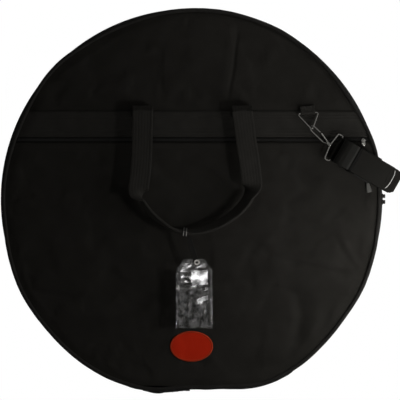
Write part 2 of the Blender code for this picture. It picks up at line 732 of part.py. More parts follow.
def handle_rings():
    """Cross sections of the handle webbing along its route, flat on the legs and on edge at the grip."""
    centres = []
    for (x, y), (_, _, edge_share) in zip(handle_route(), HANDLE_ROUTE_SHARES):
        centres.append(Vector((x, y, HANDLE_FLAT_Z - HANDLE_EDGE_DROP * edge_share)))
    rings = []
    for i, centre in enumerate(centres):
        after = centres[min(i + 1, len(centres) - 1)]
        before = centres[max(i - 1, 0)]
        tangent = (after - before).normalized()
        if i in (0, len(centres) - 1):
            tangent = Vector((0.0, math.copysign(1.0, tangent.y), 0.0))
        flat_side = Vector((0, 0, 1)).cross(tangent).normalized()
        twist = HANDLE_ROUTE_SHARES[i][2] * (math.pi / 2 - HANDLE_LEAN)
        width = flat_side * math.cos(twist) - Vector((0, 0, 1)) * math.sin(twist)
        depth = tangent.cross(width).normalized()
        across = width * (HANDLE_WEB / 2)
        thick = depth * (HANDLE_THICKNESS / 2)
        rings.append([centre - across - thick, centre + across - thick, centre + across + thick,
                      centre - across + thick])
    return rings


def make_handle():
    """The handle and the tag's loop on it, hung on the bends at the top of the folds."""
    hinge = pivot("front_handle_axis", (0.0, HANDLE_FOLD_Y, HANDLE_BEND_Z))
    hang(hinge, loft("front_handle", handle_rings(), "webbing"), make_tag_loop())


def racetrack(half_width, half_height, steps=5):
    """A closed outline with half round ends, in width and height."""
    made = []
    straight = half_height - half_width
    for side in (1, -1):
        for i in range(steps + 1):
            a = math.pi * i / steps + (0.0 if side > 0 else math.pi)
            made.append((half_width * math.cos(a), side * straight + half_width * math.sin(a)))
    return made


def make_tag_loop():
    """Strap loop round the lowest part of the handle, which stands on its edge there."""
    route = handle_route()
    along = Vector(route[HANDLE_LOW_POINT + 1]) - Vector(route[HANDLE_LOW_POINT - 1])
    turn = math.atan2(along.y, along.x)
    place = (
        Matrix.Translation((*HANDLE_LOW, HANDLE_EDGE_Z))
        @ Matrix.Rotation(turn, 4, "Z")
        @ Matrix.Rotation(HANDLE_LEAN, 4, "X")
    )
    room = TAG_LOOP_ROOM
    inner = racetrack(HANDLE_THICKNESS / 2 + room, HANDLE_WEB / 2 + room)
    wall = TAG_LOOP_THICKNESS
    outer = racetrack(HANDLE_THICKNESS / 2 + room + wall, HANDLE_WEB / 2 + room + wall)
    half = TAG_LOOP_WIDTH / 2
    loop = loft("tag_loop", [[(side * half, y, z) for y, z in outer] for side in (-1, 1)], "webbing", place=place)
    long = half + OVERRUN
    hole = loft("tag_loop_hole", [[(side * long, y, z) for y, z in inner] for side in (-1, 1)], "webbing", place=place)
    return cut(loop, hole)


def make_tag():
    """Tag strap, eyelet, clear pouch with a slot along its top edge, and the card inside it."""
    place = Matrix.Translation((*HANDLE_LOW, 0.0))
    low = ON_POCKET + TAG_STAND
    pouch_top = low + TAG_POUCH_THICKNESS
    left, right, top, bottom = TAG_POUCH_LEFT, TAG_POUCH_RIGHT, TAG_POUCH_TOP, TAG_POUCH_BOTTOM
    shoulder = top - TAG_POUCH_CHAMFER_Y
    outline = [(left, bottom), (right, bottom), (right, shoulder), (right - TAG_POUCH_CHAMFER_X, top),
               (left + TAG_POUCH_CHAMFER_X, top), (left, shoulder)]
    pouch = prism("tag_pouch", outline, low, pouch_top, "vinyl", place)
    middle = (low + pouch_top) / 2
    border = TAG_POUCH_BORDER
    slot = box("tag_pouch_slot", (left + border, bottom + border, middle - TAG_SLOT / 2),
               (right + OVERRUN, TAG_CARD_TOP + GAP, middle + TAG_SLOT / 2), "vinyl", place)
    hole = prism("tag_pouch_hole", circle(TAG_EYELET_TUBE + GAP, 16, TAG_EYELET), low - OVERRUN,
                 pouch_top + OVERRUN, "vinyl", place)
    cut(pouch, slot, hole)
    card = box("tag_card", (left + border + GAP, bottom + border + GAP, middle - TAG_CARD_THICKNESS / 2),
               (right - border, TAG_CARD_TOP, middle + TAG_CARD_THICKNESS / 2), "card", place)
    strap_low = pouch_top + GAP
    strap_top = strap_low + TAG_STRAP_THICKNESS
    start, end = Vector(TAG_STRAP_TOP), Vector(TAG_STRAP_END)
    along = (end - start).normalized()
    side = Vector((-along.y, along.x)) * (TAG_STRAP_WIDTH / 2)
    outline = [start - side, end - side, end + side, start + side]
    strap = prism("tag_strap", outline, strap_low, strap_top, "webbing", place)
    hole = prism("tag_strap_hole", circle(TAG_EYELET_TUBE + GAP, 16, TAG_EYELET), strap_low - OVERRUN,
                 strap_top + OVERRUN, "webbing", place)
    cut(strap, hole)
    rim_low = strap_top + GAP
    rim_top = rim_low + TAG_EYELET_RIM
    eyelet = prism("tag_eyelet", circle(TAG_EYELET_FLANGE, 16, TAG_EYELET), rim_low, rim_top, "metal", place)
    tube = prism("tag_eyelet_tube", circle(TAG_EYELET_TUBE, 16, TAG_EYELET), low + GAP,
                 rim_low + TAG_EYELET_RIM / 2, "metal", place)
    bore = prism("tag_eyelet_bore", circle(TAG_EYELET_BORE, 16, TAG_EYELET), low - OVERRUN,
                 rim_top + OVERRUN, "metal", place)
    join(eyelet, tube)
    cut(eyelet, bore)
    hang(pivot("tag_axis", place @ Vector((*start, strap_top))), strap, eyelet, pouch, card)


def make_badge():
    outline = []
    for i in range(BADGE_STEPS):
        a = math.tau * i / BADGE_STEPS
        outline.append((BADGE_LENGTH / 2 * math.cos(a), BADGE_Y + BADGE_HEIGHT / 2 * math.sin(a)))
    prism("badge_patch", outline, ON_POCKET, ON_POCKET + BADGE_THICKNESS, "badge")


def ring_loop(name, place):
    """Webbing loop round the ring's bar, with the tail that is sewn down beside the belt."""
    hole = RING_WIRE + RING_ROOM
    outer = hole + RING_LOOP_WALL
    half = RING_LOOP_LENGTH / 2
    lying = place @ Matrix.Rotation(math.pi / 2, 4, "Y")
    loop = prism(name, circle(outer, 20), -half, half, "webbing", place=lying)
    tail = box(f"{name}_tail", (-half, 0.0, -outer), (half, RING_TAIL, RING_LOOP_WALL - outer), "webbing", place)
    bore = prism(f"{name}_bore", circle(hole, 16), -half - OVERRUN, half + OVERRUN, "webbing", place=lying)
    join(loop, tail)
    return cut(loop, bore)


def make_front_ring():
    level, raised = front_ring_places()
    ring_loop("front_ring_loop", level)
    ring = wire("front_ring", ring_outline(), RING_WIRE, "metal", cyclic=True, place=raised)
    hang(pivot("front_ring_axis", level.translation, (0, 0, RING_TURN)), ring)


def layer_heights():
    """Height of the middle of each layer of the folded strap."""
    heights = []
    height = STRAP_THICKNESS / 2
    for layer in range(STRAP_LAYERS):
        heights.append(height)
        height += STRAP_PITCH
        if layer == ADJUSTER_LAYER:
            height += ADJUSTER_ROOM
        if layer == HOOK_LAYER:
            height += HOOK_ROOM
    return heights


def strap_stations():
    """Middle line of the folded strap, with the direction across its thickness at each point."""
    heights = layer_heights()
    made = []
    for layer, height in enumerate(heights):
        out = 1 if layer % 2 == 0 else -1
        reach = BUNDLE_LENGTH / 2 - STRAP_THICKNESS / 2
        bend_in = (heights[layer] - heights[layer - 1]) / 2 if layer else 0.0
        start = -out * (reach - bend_in)
        last = layer == STRAP_LAYERS - 1
        bend = 0.0 if last else (heights[layer + 1] - height) / 2
        end = out * (reach - bend)
        made.append(((start, height), (0.0, float(out))))
        made.append(((end, height), (0.0, float(out))))
        for i in range(1, STRAP_BEND_STEPS + 1):
            if last:
                break
            a = math.pi * i / (STRAP_BEND_STEPS + 1)
            point = (end + out * bend * math.sin(a), height + bend * (1 - math.cos(a)))
            made.append((point, (-math.sin(a), out * math.cos(a))))
    return made


def make_strap():
    """The shoulder strap as folded, its sewn end round the bar of the swivel eye, and the elastic tie."""
    half = STRAP_WIDTH / 2
    rings = []
    for (x, z), (across_x, across_z) in strap_stations():
        dx, dz = across_x * STRAP_THICKNESS / 2, across_z * STRAP_THICKNESS / 2
        rings.append([(x - dx, -half, z - dz), (x + dx, -half, z + dz),
                      (x + dx, half, z + dz), (x - dx, half, z - dz)])
    strap = loft("shoulder_strap", rings, "webbing", place=BUNDLE_FRAME)
    start = -BUNDLE_LENGTH / 2 + STRAP_THICKNESS
    tongue = box("strap_tongue", (EYE_BAR_X, -half, 0.0), (start + STRAP_THICKNESS, half, STRAP_THICKNESS),
                 "webbing", BUNDLE_FRAME)
    lying = BUNDLE_FRAME @ Matrix.Translation((EYE_BAR_X, 0.0, EYE_BAR_Z)) @ Matrix.Rotation(math.pi / 2, 4, "X")
    outer = EYE_HOLE_RADIUS + STRAP_EYE_WALL
    eye = prism("strap_eye", circle(outer, 16), -half, half, "webbing", place=lying)
    bore = prism("strap_eye_bore", circle(EYE_HOLE_RADIUS, 16), -half - OVERRUN, half + OVERRUN,
                 "webbing", place=lying)
    join(strap, tongue, eye)
    cut(strap, bore)
    top = layer_heights()[-1] + STRAP_THICKNESS / 2
    low_x, high_x = TIE_PLACE - TIE_WIDTH / 2, TIE_PLACE + TIE_WIDTH / 2
    wide = half + GAP + TIE_THICKNESS
    tie = box("strap_tie", (low_x, -wide, -GAP - TIE_THICKNESS), (high_x, wide, top + GAP + TIE_THICKNESS),
              "elastic", BUNDLE_FRAME)
    room = box("strap_tie_room", (low_x - OVERRUN, -half - GAP, -GAP), (high_x + OVERRUN, half + GAP, top + GAP),
               "elastic", BUNDLE_FRAME)
    cut(tie, room)
    return strap, tie


def make_wrapped_pieces():
    """The strap's length adjuster and its second hook, wrapped up between the layers."""
    heights = layer_heights()
    middle = (heights[ADJUSTER_LAYER] + heights[ADJUSTER_LAYER + 1]) / 2
    half_x, half_y, half_z = ADJUSTER_LENGTH / 2, ADJUSTER_WIDTH / 2, ADJUSTER_THICKNESS / 2
    adjuster = box("strap_adjuster", (-half_x, -half_y, middle - half_z), (half_x, half_y, middle + half_z),
                   "plastic", BUNDLE_FRAME)
    bar = ADJUSTER_BAR
    for side in (-1, 1):
        low_x, high_x = sorted((side * bar / 2, side * (half_x - bar)))
        slot = box(f"adjuster_slot_{side}", (low_x, -half_y + bar, middle - half_z - OVERRUN),
                   (high_x, half_y - bar, middle + half_z + OVERRUN), "plastic", BUNDLE_FRAME)
        cut(adjuster, slot)
    middle = (heights[HOOK_LAYER] + heights[HOOK_LAYER + 1]) / 2
    half_x, half_y = INNER_HOOK_LENGTH / 2, INNER_HOOK_WIDTH / 2
    outline = rounded([(-half_x, -half_y), (half_x, -half_y), (half_x, half_y), (-half_x, half_y)], half_y / 2)
    place = BUNDLE_FRAME @ Matrix.Translation((0.0, 0.0, middle))
    inner_hook = wire("inner_hook", outline, INNER_HOOK_WIRE, "metal", cyclic=True, place=place)
    return adjuster, inner_hook


def make_eye():
    """Wire eye that holds the strap, with the boss that turns on the hook's head."""
    corners = [(EYE_BAR_X, -EYE_HALF_WIDTH), (EYE_BAR_X, EYE_HALF_WIDTH), (EYE_BAR_X - EYE_SHOULDER, EYE_HALF_WIDTH),
               (EYE_BAR_X - EYE_NECK, EYE_NECK_HALF), (EYE_BAR_X - EYE_NECK, -EYE_NECK_HALF),
               (EYE_BAR_X - EYE_SHOULDER, -EYE_HALF_WIDTH)]
    place = BUNDLE_FRAME @ Matrix.Translation((0.0, 0.0, EYE_BAR_Z))
    eye = wire("swivel_eye", rounded(corners, EYE_CORNER_RADIUS, 2), EYE_WIRE, "metal", cyclic=True, place=place)
    back = EYE_BOSS - HOOK_AXIS * (EYE_BOSS_LENGTH / 2)
    front = EYE_BOSS + HOOK_AXIS * (EYE_BOSS_LENGTH / 2)
    return join(eye, round_bar("eye_boss", EYE_BOSS_RADIUS, back, front, "metal", 12))


def make_hook():
    """Snap hook of bent wire with a head, open on its upper side, and the spring gate that closes it."""
    place = hook_frame()
    head_start = EYE_BOSS_LENGTH / 2 + GAP
    head_end = head_start + HOOK_HEAD_LENGTH
    half = HOOK_HALF_WIDTH
    bend = HOOK_LENGTH - half
    points = [(head_end - HOOK_WIRE, 0.0), (head_end + HOOK_WIRE, -half / 2), (head_end + half, -half), (bend, -half)]
    steps = 6
    for i in range(1, steps + 1):
        a = -math.pi / 2 + math.pi * i / steps
        points.append((bend + half * math.cos(a), half * math.sin(a)))
    nose = bend - HOOK_NOSE
    points.append((nose, half))
    hook = wire("snap_hook", points, HOOK_WIRE, "metal", place=place)
    start = place @ Vector((head_start, 0.0, 0.0))
    end = place @ Vector((head_end, 0.0, 0.0))
    join(hook, round_bar("hook_head", HOOK_HEAD_RADIUS, start, end, "metal", 12))
    root = Vector((head_end + GATE_ROOT, GATE_ROOT_HALF))
    shut = Vector((nose - HOOK_WIRE - GATE_END_ROOM, half))
    gate = wire("hook_gate", [root, shut], HOOK_WIRE, "metal", place=place)
    along = (shut - root).normalized()
    seat = root - along * GATE_END_ROOM
    arm = [(head_end - HOOK_WIRE, 0.0), seat - along * HOOK_WIRE, seat]
    join(hook, wire("hook_arm", arm, HOOK_WIRE, "metal", place=place))
    return place, hook, gate, root


def make_strap_set():
    """Strap bundle, swivel eye and snap hook, each hung on its own joint."""
    strap, tie = make_strap()
    adjuster, inner_hook = make_wrapped_pieces()
    eye = make_eye()
    place, hook, gate, root = make_hook()
    bar = BUNDLE_FRAME @ Vector((EYE_BAR_X, 0.0, EYE_BAR_Z))
    hang(pivot("strap_axis", bar, (0, 0, BUNDLE_TURN)), strap, tie, adjuster, inner_hook)
    hang(pivot("swivel_axis", EYE_BOSS, place.to_euler()), eye)
    hang(pivot("snap_hook_axis", RING_TIP), hook)
    gate_place = place @ Matrix.Translation((*root, 0.0))
    hang(pivot("hook_gate_axis", gate_place.translation, place.to_euler()), gate)


def back_channel(name, low, high, depth):
    return box(name, (low[0], low[1], -OVERRUN), (high[0], high[1], depth), "foam")


def back_handle_outline(grow):
    """Outline of the folded back handle, a U with folded corners."""
    half = HANDLE_WEB / 2 + grow
    outer = BACK_HANDLE_HALF_SPAN + half
    inner = BACK_HANDLE_HALF_SPAN - half
    top = HANDLE_FOLD_Y + grow
    low = HANDLE_FOLD_Y - BACK_HANDLE_REACH - grow
    floor = HANDLE_FOLD_Y - BACK_HANDLE_REACH + HANDLE_WEB + grow
    chamfer = BACK_HANDLE_CHAMFER
    return [(-outer, top), (-outer, low + chamfer), (-outer + chamfer, low), (outer - chamfer, low),
            (outer, low + chamfer), (outer, top), (inner, top), (inner, floor), (-inner, floor), (-inner, top)]


def make_back():
    """Padded back panel with its channels, and the belt, handle and ring that lie in them."""
    handle_top = BACK_HANDLE_LOW_Z + BACK_HANDLE_THICKNESS
    belt_low = handle_top + GAP
    belt_top = belt_low + BACK_BELT_THICKNESS
    room = CHANNEL_ROOM
    panel = disc("back_panel", PANEL_RADIUS, 0.0, BACK_PANEL, "nylon")
    reach = PANEL_RADIUS + OVERRUN
    belt_high = HANDLE_FOLD_Y + BACK_BELT_MARGIN
    belt_channel = back_channel("belt_channel", (-reach, BELT_LOW_Y - room), (reach, belt_high + room),
                                belt_top + GAP)
    handle_channel = prism("handle_channel", back_handle_outline(room), -OVERRUN, handle_top + GAP, "foam")
    ring_top = back_ring_place().translation.z + RING_WIRE + RING_ROOM + RING_LOOP_WALL
    half = RING_HALF_BAR + RING_WIRE + room + GAP
    ring_channel = back_channel("ring_channel", (BACK_RING_X - half, RING_Y + RING_APEX_Y - RING_WIRE - room),
                                (BACK_RING_X + half, RING_Y + RING_TAIL + room), ring_top + GAP)
    cut(panel, belt_channel, handle_channel, ring_channel)
    foam_low = BACK_PANEL + GAP
    foam_top = foam_low + BACK_FOAM
    disc("back_foam", PANEL_RADIUS - LINING_INSET, foam_low, foam_top, "foam")
    disc("back_lining", PANEL_RADIUS - LINING_INSET, foam_top + GAP, foam_top + GAP + LINING, "lining")
    belt = box("back_belt", (-reach, BELT_LOW_Y, belt_low), (reach, belt_high, belt_top), "webbing")
    modify(belt, disc("back_belt_edge", PANEL_RADIUS, belt_low - OVERRUN, belt_top + OVERRUN, "webbing"), "INTERSECT")
    ring_low = RING_Y + RING_APEX_Y - RING_WIRE - room - GAP
    ring_room = box("back_belt_gap", (BACK_RING_X - half - GAP, ring_low, -OVERRUN),
                    (BACK_RING_X + half + GAP, belt_high + OVERRUN, FRONT_Z), "webbing")
    cut(belt, ring_room)
    handle = prism("back_handle", back_handle_outline(0.0), BACK_HANDLE_LOW_Z, handle_top, "webbing")
    middle = BACK_HANDLE_LOW_Z + BACK_HANDLE_THICKNESS / 2
    hang(pivot("back_handle_axis", (0.0, HANDLE_FOLD_Y, middle)), handle)


def back_ring_place():
    """Frame of the back ring's bar: +Z points away from the bag, downwards."""
    height = BACK_HANDLE_LOW_Z + RING_WIRE + RING_ROOM + RING_LOOP_WALL
    return Matrix.Translation((BACK_RING_X, RING_Y, height)) @ Matrix.Rotation(math.pi, 4, "Y")


def make_back_ring():
    place = back_ring_place()
    ring_loop("back_ring_loop", place)
    ring = wire("back_ring", ring_outline(), RING_WIRE, "metal", cyclic=True, place=place)
    hang(pivot("back_ring_axis", place.translation), ring)


def main():
    for obj in list(bpy.data.objects):
        bpy.data.objects.remove(obj, do_unlink=True)
    MATERIALS.update(make_materials())
    halves = Halves()
    make_front_panel(halves)
    make_piping(halves)
    make_gusset(halves)
    make_main_zip(halves)
    make_main_slider("upper", 1)
    make_main_slider("lower", -1)
    make_pocket(halves)
    make_pocket_slider()
    make_belt()
    make_handle_folds()
    make_handle()
    make_tag()
    make_badge()
    make_front_ring()
    make_strap_set()
    make_back()
    make_back_ring()


main()
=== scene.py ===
"""Looks of the cymbal bag on its CAD frame: cloth, piping, zippers, webbing, tag, patch and hardware."""

import json
import math

import bmesh
import bpy
import numpy as np
from mathutils import Matrix, Vector


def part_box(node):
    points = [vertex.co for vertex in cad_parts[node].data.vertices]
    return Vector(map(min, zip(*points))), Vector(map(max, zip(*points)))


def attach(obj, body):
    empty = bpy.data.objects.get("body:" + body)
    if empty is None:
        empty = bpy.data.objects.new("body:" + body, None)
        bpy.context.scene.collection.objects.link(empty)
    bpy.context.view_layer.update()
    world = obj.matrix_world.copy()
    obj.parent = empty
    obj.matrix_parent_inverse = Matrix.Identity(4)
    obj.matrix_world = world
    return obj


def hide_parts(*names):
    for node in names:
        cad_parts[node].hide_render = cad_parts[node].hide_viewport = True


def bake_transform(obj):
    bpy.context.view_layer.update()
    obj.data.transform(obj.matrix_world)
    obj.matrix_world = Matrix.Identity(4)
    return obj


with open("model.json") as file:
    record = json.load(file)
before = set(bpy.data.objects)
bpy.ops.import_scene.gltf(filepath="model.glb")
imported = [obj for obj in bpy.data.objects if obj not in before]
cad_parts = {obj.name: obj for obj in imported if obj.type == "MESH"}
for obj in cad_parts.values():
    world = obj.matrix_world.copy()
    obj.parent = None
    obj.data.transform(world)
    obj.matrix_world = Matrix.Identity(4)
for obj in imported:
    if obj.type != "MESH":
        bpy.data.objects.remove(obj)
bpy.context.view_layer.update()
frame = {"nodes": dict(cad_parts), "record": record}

NODES = frame["nodes"]
JOINTS = {joint["name"]: joint for joint in frame["record"]["behaviour"]["joints"]}

# The photograph's scale on the bag's face, and the pixel over the bag's axis
PIXEL = 0.001575
AXIS_PIXEL = (191.5, 199.5)
CAMERA_PIXEL = (200.0, 200.0)
CAMERA_HEIGHT = 8.0
SENSOR = 36.0
FRAME_PIXELS = 400

# Places and sizes that repeat the CAD's
FACE_Z = 0.062
SCALE_Z = 0.050
SEAM_R = 0.286
RIM_R = 0.300
PIPING_R = 0.0033
GUSSET_MID_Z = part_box("main_slider_upper")[0].z + 0.00525
GUSSET_R = 0.030223
GUSSET_C = RIM_R - GUSSET_R
GUSSET_PHI = math.radians(57.5)
TAPE_PHI = math.radians(21.6)
COIL_PHI = math.radians(6.6)
SKIN = 0.003
FOLD = Vector(JOINTS["flap_fold"]["pos_m"])
TOP_LAYER = 0.0623
CLOTH_TOP = 0.0641
POCKET_EDGE_Y = 0.0898
BELT_LOW_Y, BELT_HIGH_Y = 0.098, 0.139
POCKET_ZIP_Y = 0.094
BACK_PIPING_Z = 0.0038

# How far the bag's outline stands out of the CAD's round rim: degrees from +X, and millimetres
OUTLINE = (
    (-180, 0.7), (-173, -0.6), (-165, 2.5), (-152, 7.7), (-138, 8.2), (-125, 11.6), (-114, 12.8),
    (-105, 11.2), (-100, 8.2), (-97, 4.0), (-95, 0.6), (-90, 0.0), (-86, 1.3), (-80, 3.6), (-75, 9.6),
    (-70, 15.1), (-65, 16.9), (-59, 16.6), (-55, 16.0), (-50, 13.6), (-38, 9.2), (-28, 9.1), (-18, 5.2),
    (-14, 4.4), (-10, 2.3), (-4, 1.4), (5, 0.8), (15, 4.1), (24, 1.3), (32, -1.2), (43, 1.2), (56, 2.2),
    (62, 3.7), (70, 2.9), (80, 3.4), (90, 2.2), (98, 1.2), (109, -1.5), (117, -1.2), (124, -1.2),
    (133, 2.9), (140, 2.6), (145, 0.7), (152, -1.8), (158, -2.2), (165, -1.6), (175, 0.2),
)
# The back's seam goes out by a share of the outline's way. The front's lies a gap inside the outline, widest
# at one angle. Both panels reach a little into their pipings.
SEAM_SHARE = 0.6
SEAM_INSET = 0.0005
SEAM_OVERLAP = 0.0015
SEAM_GAP, SEAM_GAP_MORE = 0.0043, 0.0026
SEAM_GAP_TURN, SEAM_GAP_REACH = math.radians(-35), math.radians(45)
OUTLINE_SMOOTHING = math.radians(1.8)

MM = 0.001
ALONG_X, ALONG_Y = (1.0, 0.0, 0.0), (0.0, 1.0, 0.0)
WAVE_COUNT = 7
FILM_ALPHA = (0.05, 0.40)
CARD_ALPHA = 0.5
# Webbing is round at its edges beyond a share of its half width; the underside's texture lies some way off
ROUND_FROM, UNDERSIDE_SHIFT = 0.93, 3.0


# Small helpers

def from_photo(px, py):
    return (px - AXIS_PIXEL[0]) * PIXEL, (AXIS_PIXEL[1] - py) * PIXEL


def ease(t):
    t = np.clip(t, 0.0, 1.0)
    return t * t * (3 - 2 * t)


def bell(t):
    return np.exp(-t * t)


def circular_smooth(values, step, sigma):
    """A ring of values, smoothed by a bell of the given width."""
    lag = np.fft.fftfreq(len(values), 1.0 / len(values)) * step
    kernel = bell(lag / (sigma * math.sqrt(2)))
    kernel /= kernel.sum()
    return np.real(np.fft.ifft(np.fft.fft(values) * np.fft.fft(kernel)))


RING = np.radians(np.arange(0.0, 360.0, 0.5))
outline_degrees, outline_stand = zip(*OUTLINE)
RING_EXTRA = np.interp(np.degrees(RING), outline_degrees, outline_stand, period=360.0) * MM
RING_EXTRA = circular_smooth(RING_EXTRA, RING[1] - RING[0], OUTLINE_SMOOTHING)


def extra(theta):
    """How far the bag's outline stands out at an angle round its axis."""
    return np.interp(np.mod(theta, math.tau), RING, RING_EXTRA, period=math.tau)


def back_seam_radius(theta):
    return SEAM_R - SEAM_INSET + SEAM_SHARE * extra(theta)


def seam_radius(theta):
    """The padded front bulges over the wall: its seam lies close to the outline, least at the lower right."""
    turn = np.mod(theta - SEAM_GAP_TURN + math.pi, math.tau) - math.pi
    return RIM_R + extra(theta) - SEAM_GAP - SEAM_GAP_MORE * bell(turn / SEAM_GAP_REACH)


def panel_radius(theta, back=False):
    return (back_seam_radius if back else seam_radius)(theta) - PIPING_R + SEAM_OVERLAP


HALF_TURN = np.linspace(-math.pi / 2, math.pi / 2, 721)


def chord(y, inset=0.0, back=False):
    """Left and right ends of the panel at a height on it."""
    ends = []
    for angles in (math.pi - HALF_TURN, HALF_TURN):
        r = panel_radius(angles, back) - inset
        ends.append(np.interp(y, np.maximum.accumulate(r * np.sin(angles)), r * np.cos(angles)))
    return ends


def panel_rows(low, high, step, back=False):
    """Heights of a cloth's rows, closer together at the panel's poles."""
    bottom, top = -panel_radius(-math.pi / 2, back), panel_radius(math.pi / 2, back)
    start, end = max(low, bottom), min(high, top)
    rows = list(np.linspace(start, end, int((end - start) / step)))
    if low < bottom:
        rows[1:1] = [rows[0] + (rows[1] - rows[0]) * share for share in (0.02, 0.1, 0.25, 0.5)]
    if high > top:
        rows[-1:-1] = [rows[-1] - (rows[-1] - rows[-2]) * share for share in (0.5, 0.25, 0.1, 0.02)]
    return np.array(rows)


def waves(x, y, seed, scale):
    """A smooth uneven field from a few crossing waves, about -1 to 1."""
    rng = np.random.default_rng(seed)
    total = np.zeros_like(np.asarray(x, float))
    for _ in range(WAVE_COUNT):
        a, phase = rng.uniform(0, math.tau, 2)
        pitch = scale * rng.uniform(0.6, 1.7)
        total = total + np.sin((x * math.cos(a) + y * math.sin(a)) * math.tau / pitch + phase)
    return total / (WAVE_COUNT / 2)


def stacked(*parts):
    """Coordinates of any shapes that fit together, joined along a new last axis."""
    return np.stack(np.broadcast_arrays(*parts), -1)


def between(left, right, share, ys):
    """Points between the ends of every row, at shares of its width, and the rows' heights there."""
    x = left[:, None] + (right - left)[:, None] * share[None, :]
    return x, np.broadcast_to(ys[:, None], x.shape)


def placed(points, place):
    """Points of a piece's own frame, moved to where the piece lies."""
    return points @ np.array(place.to_3x3()).T + np.array(place.translation)


def round_corners(half_width, half_height, radius, steps):
    """A rectangle's outline with round corners."""
    outline = []
    for side_x, side_y, start in ((1, 1, 0.0), (-1, 1, 0.5), (-1, -1, 1.0), (1, -1, 1.5)):
        for i in range(steps):
            a = math.pi * (start + 0.5 * i / (steps - 1))
            outline.append((side_x * (half_width - radius) + radius * math.cos(a),
                            side_y * (half_height - radius) + radius * math.sin(a)))
    return outline


# Mesh builders

def mesh_object(name, points, faces, uvs, material):
    mesh = bpy.data.meshes.new(name)
    mesh.from_pydata([tuple(p) for p in points], [], faces)
    mesh.materials.append(material)
    layer = mesh.uv_layers.new(name="metres")
    corners = np.empty(len(mesh.loops), int)
    mesh.loops.foreach_get("vertex_index", corners)
    layer.data.foreach_set("uv", np.asarray(uvs, float)[corners].ravel())
    mesh.shade_smooth()
    mesh.validate()
    obj = bpy.data.objects.new(name, mesh)
    bpy.context.scene.collection.objects.link(obj)
    return obj


def grid_faces(rows, columns, wrap=False, flip=False):
    faces = []
    for row in range(0, (rows - 1) * columns, columns):
        for j in range(columns if wrap else columns - 1):
            k = (j + 1) % columns
            quad = (row + j, row + k, row + columns + k, row + columns + j)
            faces.append(quad[::-1] if flip else quad)
    return faces


def sheet_mesh(name, grid, uvs, material, flip=False):
    """One layer of cloth from rows of points."""
    faces = grid_faces(*grid.shape[:2], flip=flip)
    return mesh_object(name, grid.reshape(-1, 3), faces, uvs.reshape(-1, 2), material)


def outward(obj):
    """Turns the faces of a closed piece outwards."""
    bm = bmesh.new()
    bm.from_mesh(obj.data)
    bmesh.ops.recalc_face_normals(bm, faces=bm.faces)
    bm.to_mesh(obj.data)
    bm.free()
    return obj


def tube_mesh(name, rings, material, uvs=None, closed=False, caps=True):
    """A skin over rings of points; where it isn't closed on itself, its ends are capped."""
    rings = np.asarray(rings, float)
    uvs = rings[..., :2] if uvs is None else uvs
    count, around = rings.shape[:2]
    faces = grid_faces(count, around, wrap=True)
    if closed:
        last = (count - 1) * around
        faces += [(last + j, last + (j + 1) % around, (j + 1) % around, j) for j in range(around)]
    elif caps:
        faces.append(tuple(range(around))[::-1])
        faces.append(tuple((count - 1) * around + j for j in range(around)))
    return outward(mesh_object(name, rings.reshape(-1, 3), faces, uvs.reshape(-1, 2), material))


def spline(points, steps, closed=False):
    """A Catmull-Rom curve through points of any width."""
    points = np.asarray(points, float)
    count = len(points)
    made = []
    spans = count if closed else count - 1
    for i in range(spans):
        near = range(i - 1, i + 3)
        p = [points[k % count if closed else min(max(k, 0), count - 1)] for k in near]
        for s in range(steps):
            t = s / steps
            bend, turn = 2 * p[0] - 5 * p[1] + 4 * p[2] - p[3], 3 * p[1] - p[0] - 3 * p[2] + p[3]
            made.append(0.5 * (2 * p[1] + (p[2] - p[0]) * t + bend * t * t + turn * t ** 3))
    if not closed:
        made.append(points[-1])
    return np.array(made)


def unit(v):
    return v / np.maximum(np.linalg.norm(v, axis=-1, keepdims=True), 1e-12)


def tangents(points, closed=False):
    if closed:
        return unit(np.roll(points, -1, 0) - np.roll(points, 1, 0))
    return unit(np.gradient(points, axis=0))


def lengths(points):
    return np.concatenate([[0.0], np.cumsum(np.linalg.norm(np.diff(points, axis=0), axis=1))])


def ribbon(name, centres, widths, half_width, thickness, material, ribs=0, rib_height=0.0, across=25,
           caps=True):
    """Webbing along a line, with ribs along it. The direction of its width, its half width and its thickness
    are each given once, or at every centre."""
    centres, widths = np.asarray(centres, float), unit(np.asarray(widths, float))
    along = tangents(centres)
    widths = unit(widths - along * np.sum(along * widths, 1, keepdims=True))
    normals = np.cross(along, widths)
    u = np.sin(np.linspace(-math.pi / 2, math.pi / 2, across))
    edge = np.sqrt(np.clip(1 - np.clip((np.abs(u) - ROUND_FROM) / (1 - ROUND_FROM), 0, 1) ** 2, 0, 1))
    run = lengths(centres)
    half_width = np.broadcast_to(np.asarray(half_width, float), run.shape)
    thickness = np.broadcast_to(np.asarray(thickness, float), run.shape)
    swell = thickness[:, None] / 2 * (0.25 + 0.75 * edge)[None]
    if ribs:
        swell = swell + (rib_height * edge * (np.cos(u * math.pi * ribs) - 1) / 2)[None]
    ring_u = np.concatenate([u, u[::-1]])
    ring_n = np.concatenate([swell, -swell[:, ::-1]], 1)
    rings = (centres[:, None] + widths[:, None] * (ring_u[None] * half_width[:, None])[..., None]
             + normals[:, None] * ring_n[..., None])
    side = np.concatenate([u, u[::-1] + UNDERSIDE_SHIFT])
    uvs = stacked(side[None] * half_width.mean(), run[:, None])
    return tube_mesh(name, rings, material, uvs, caps=caps)


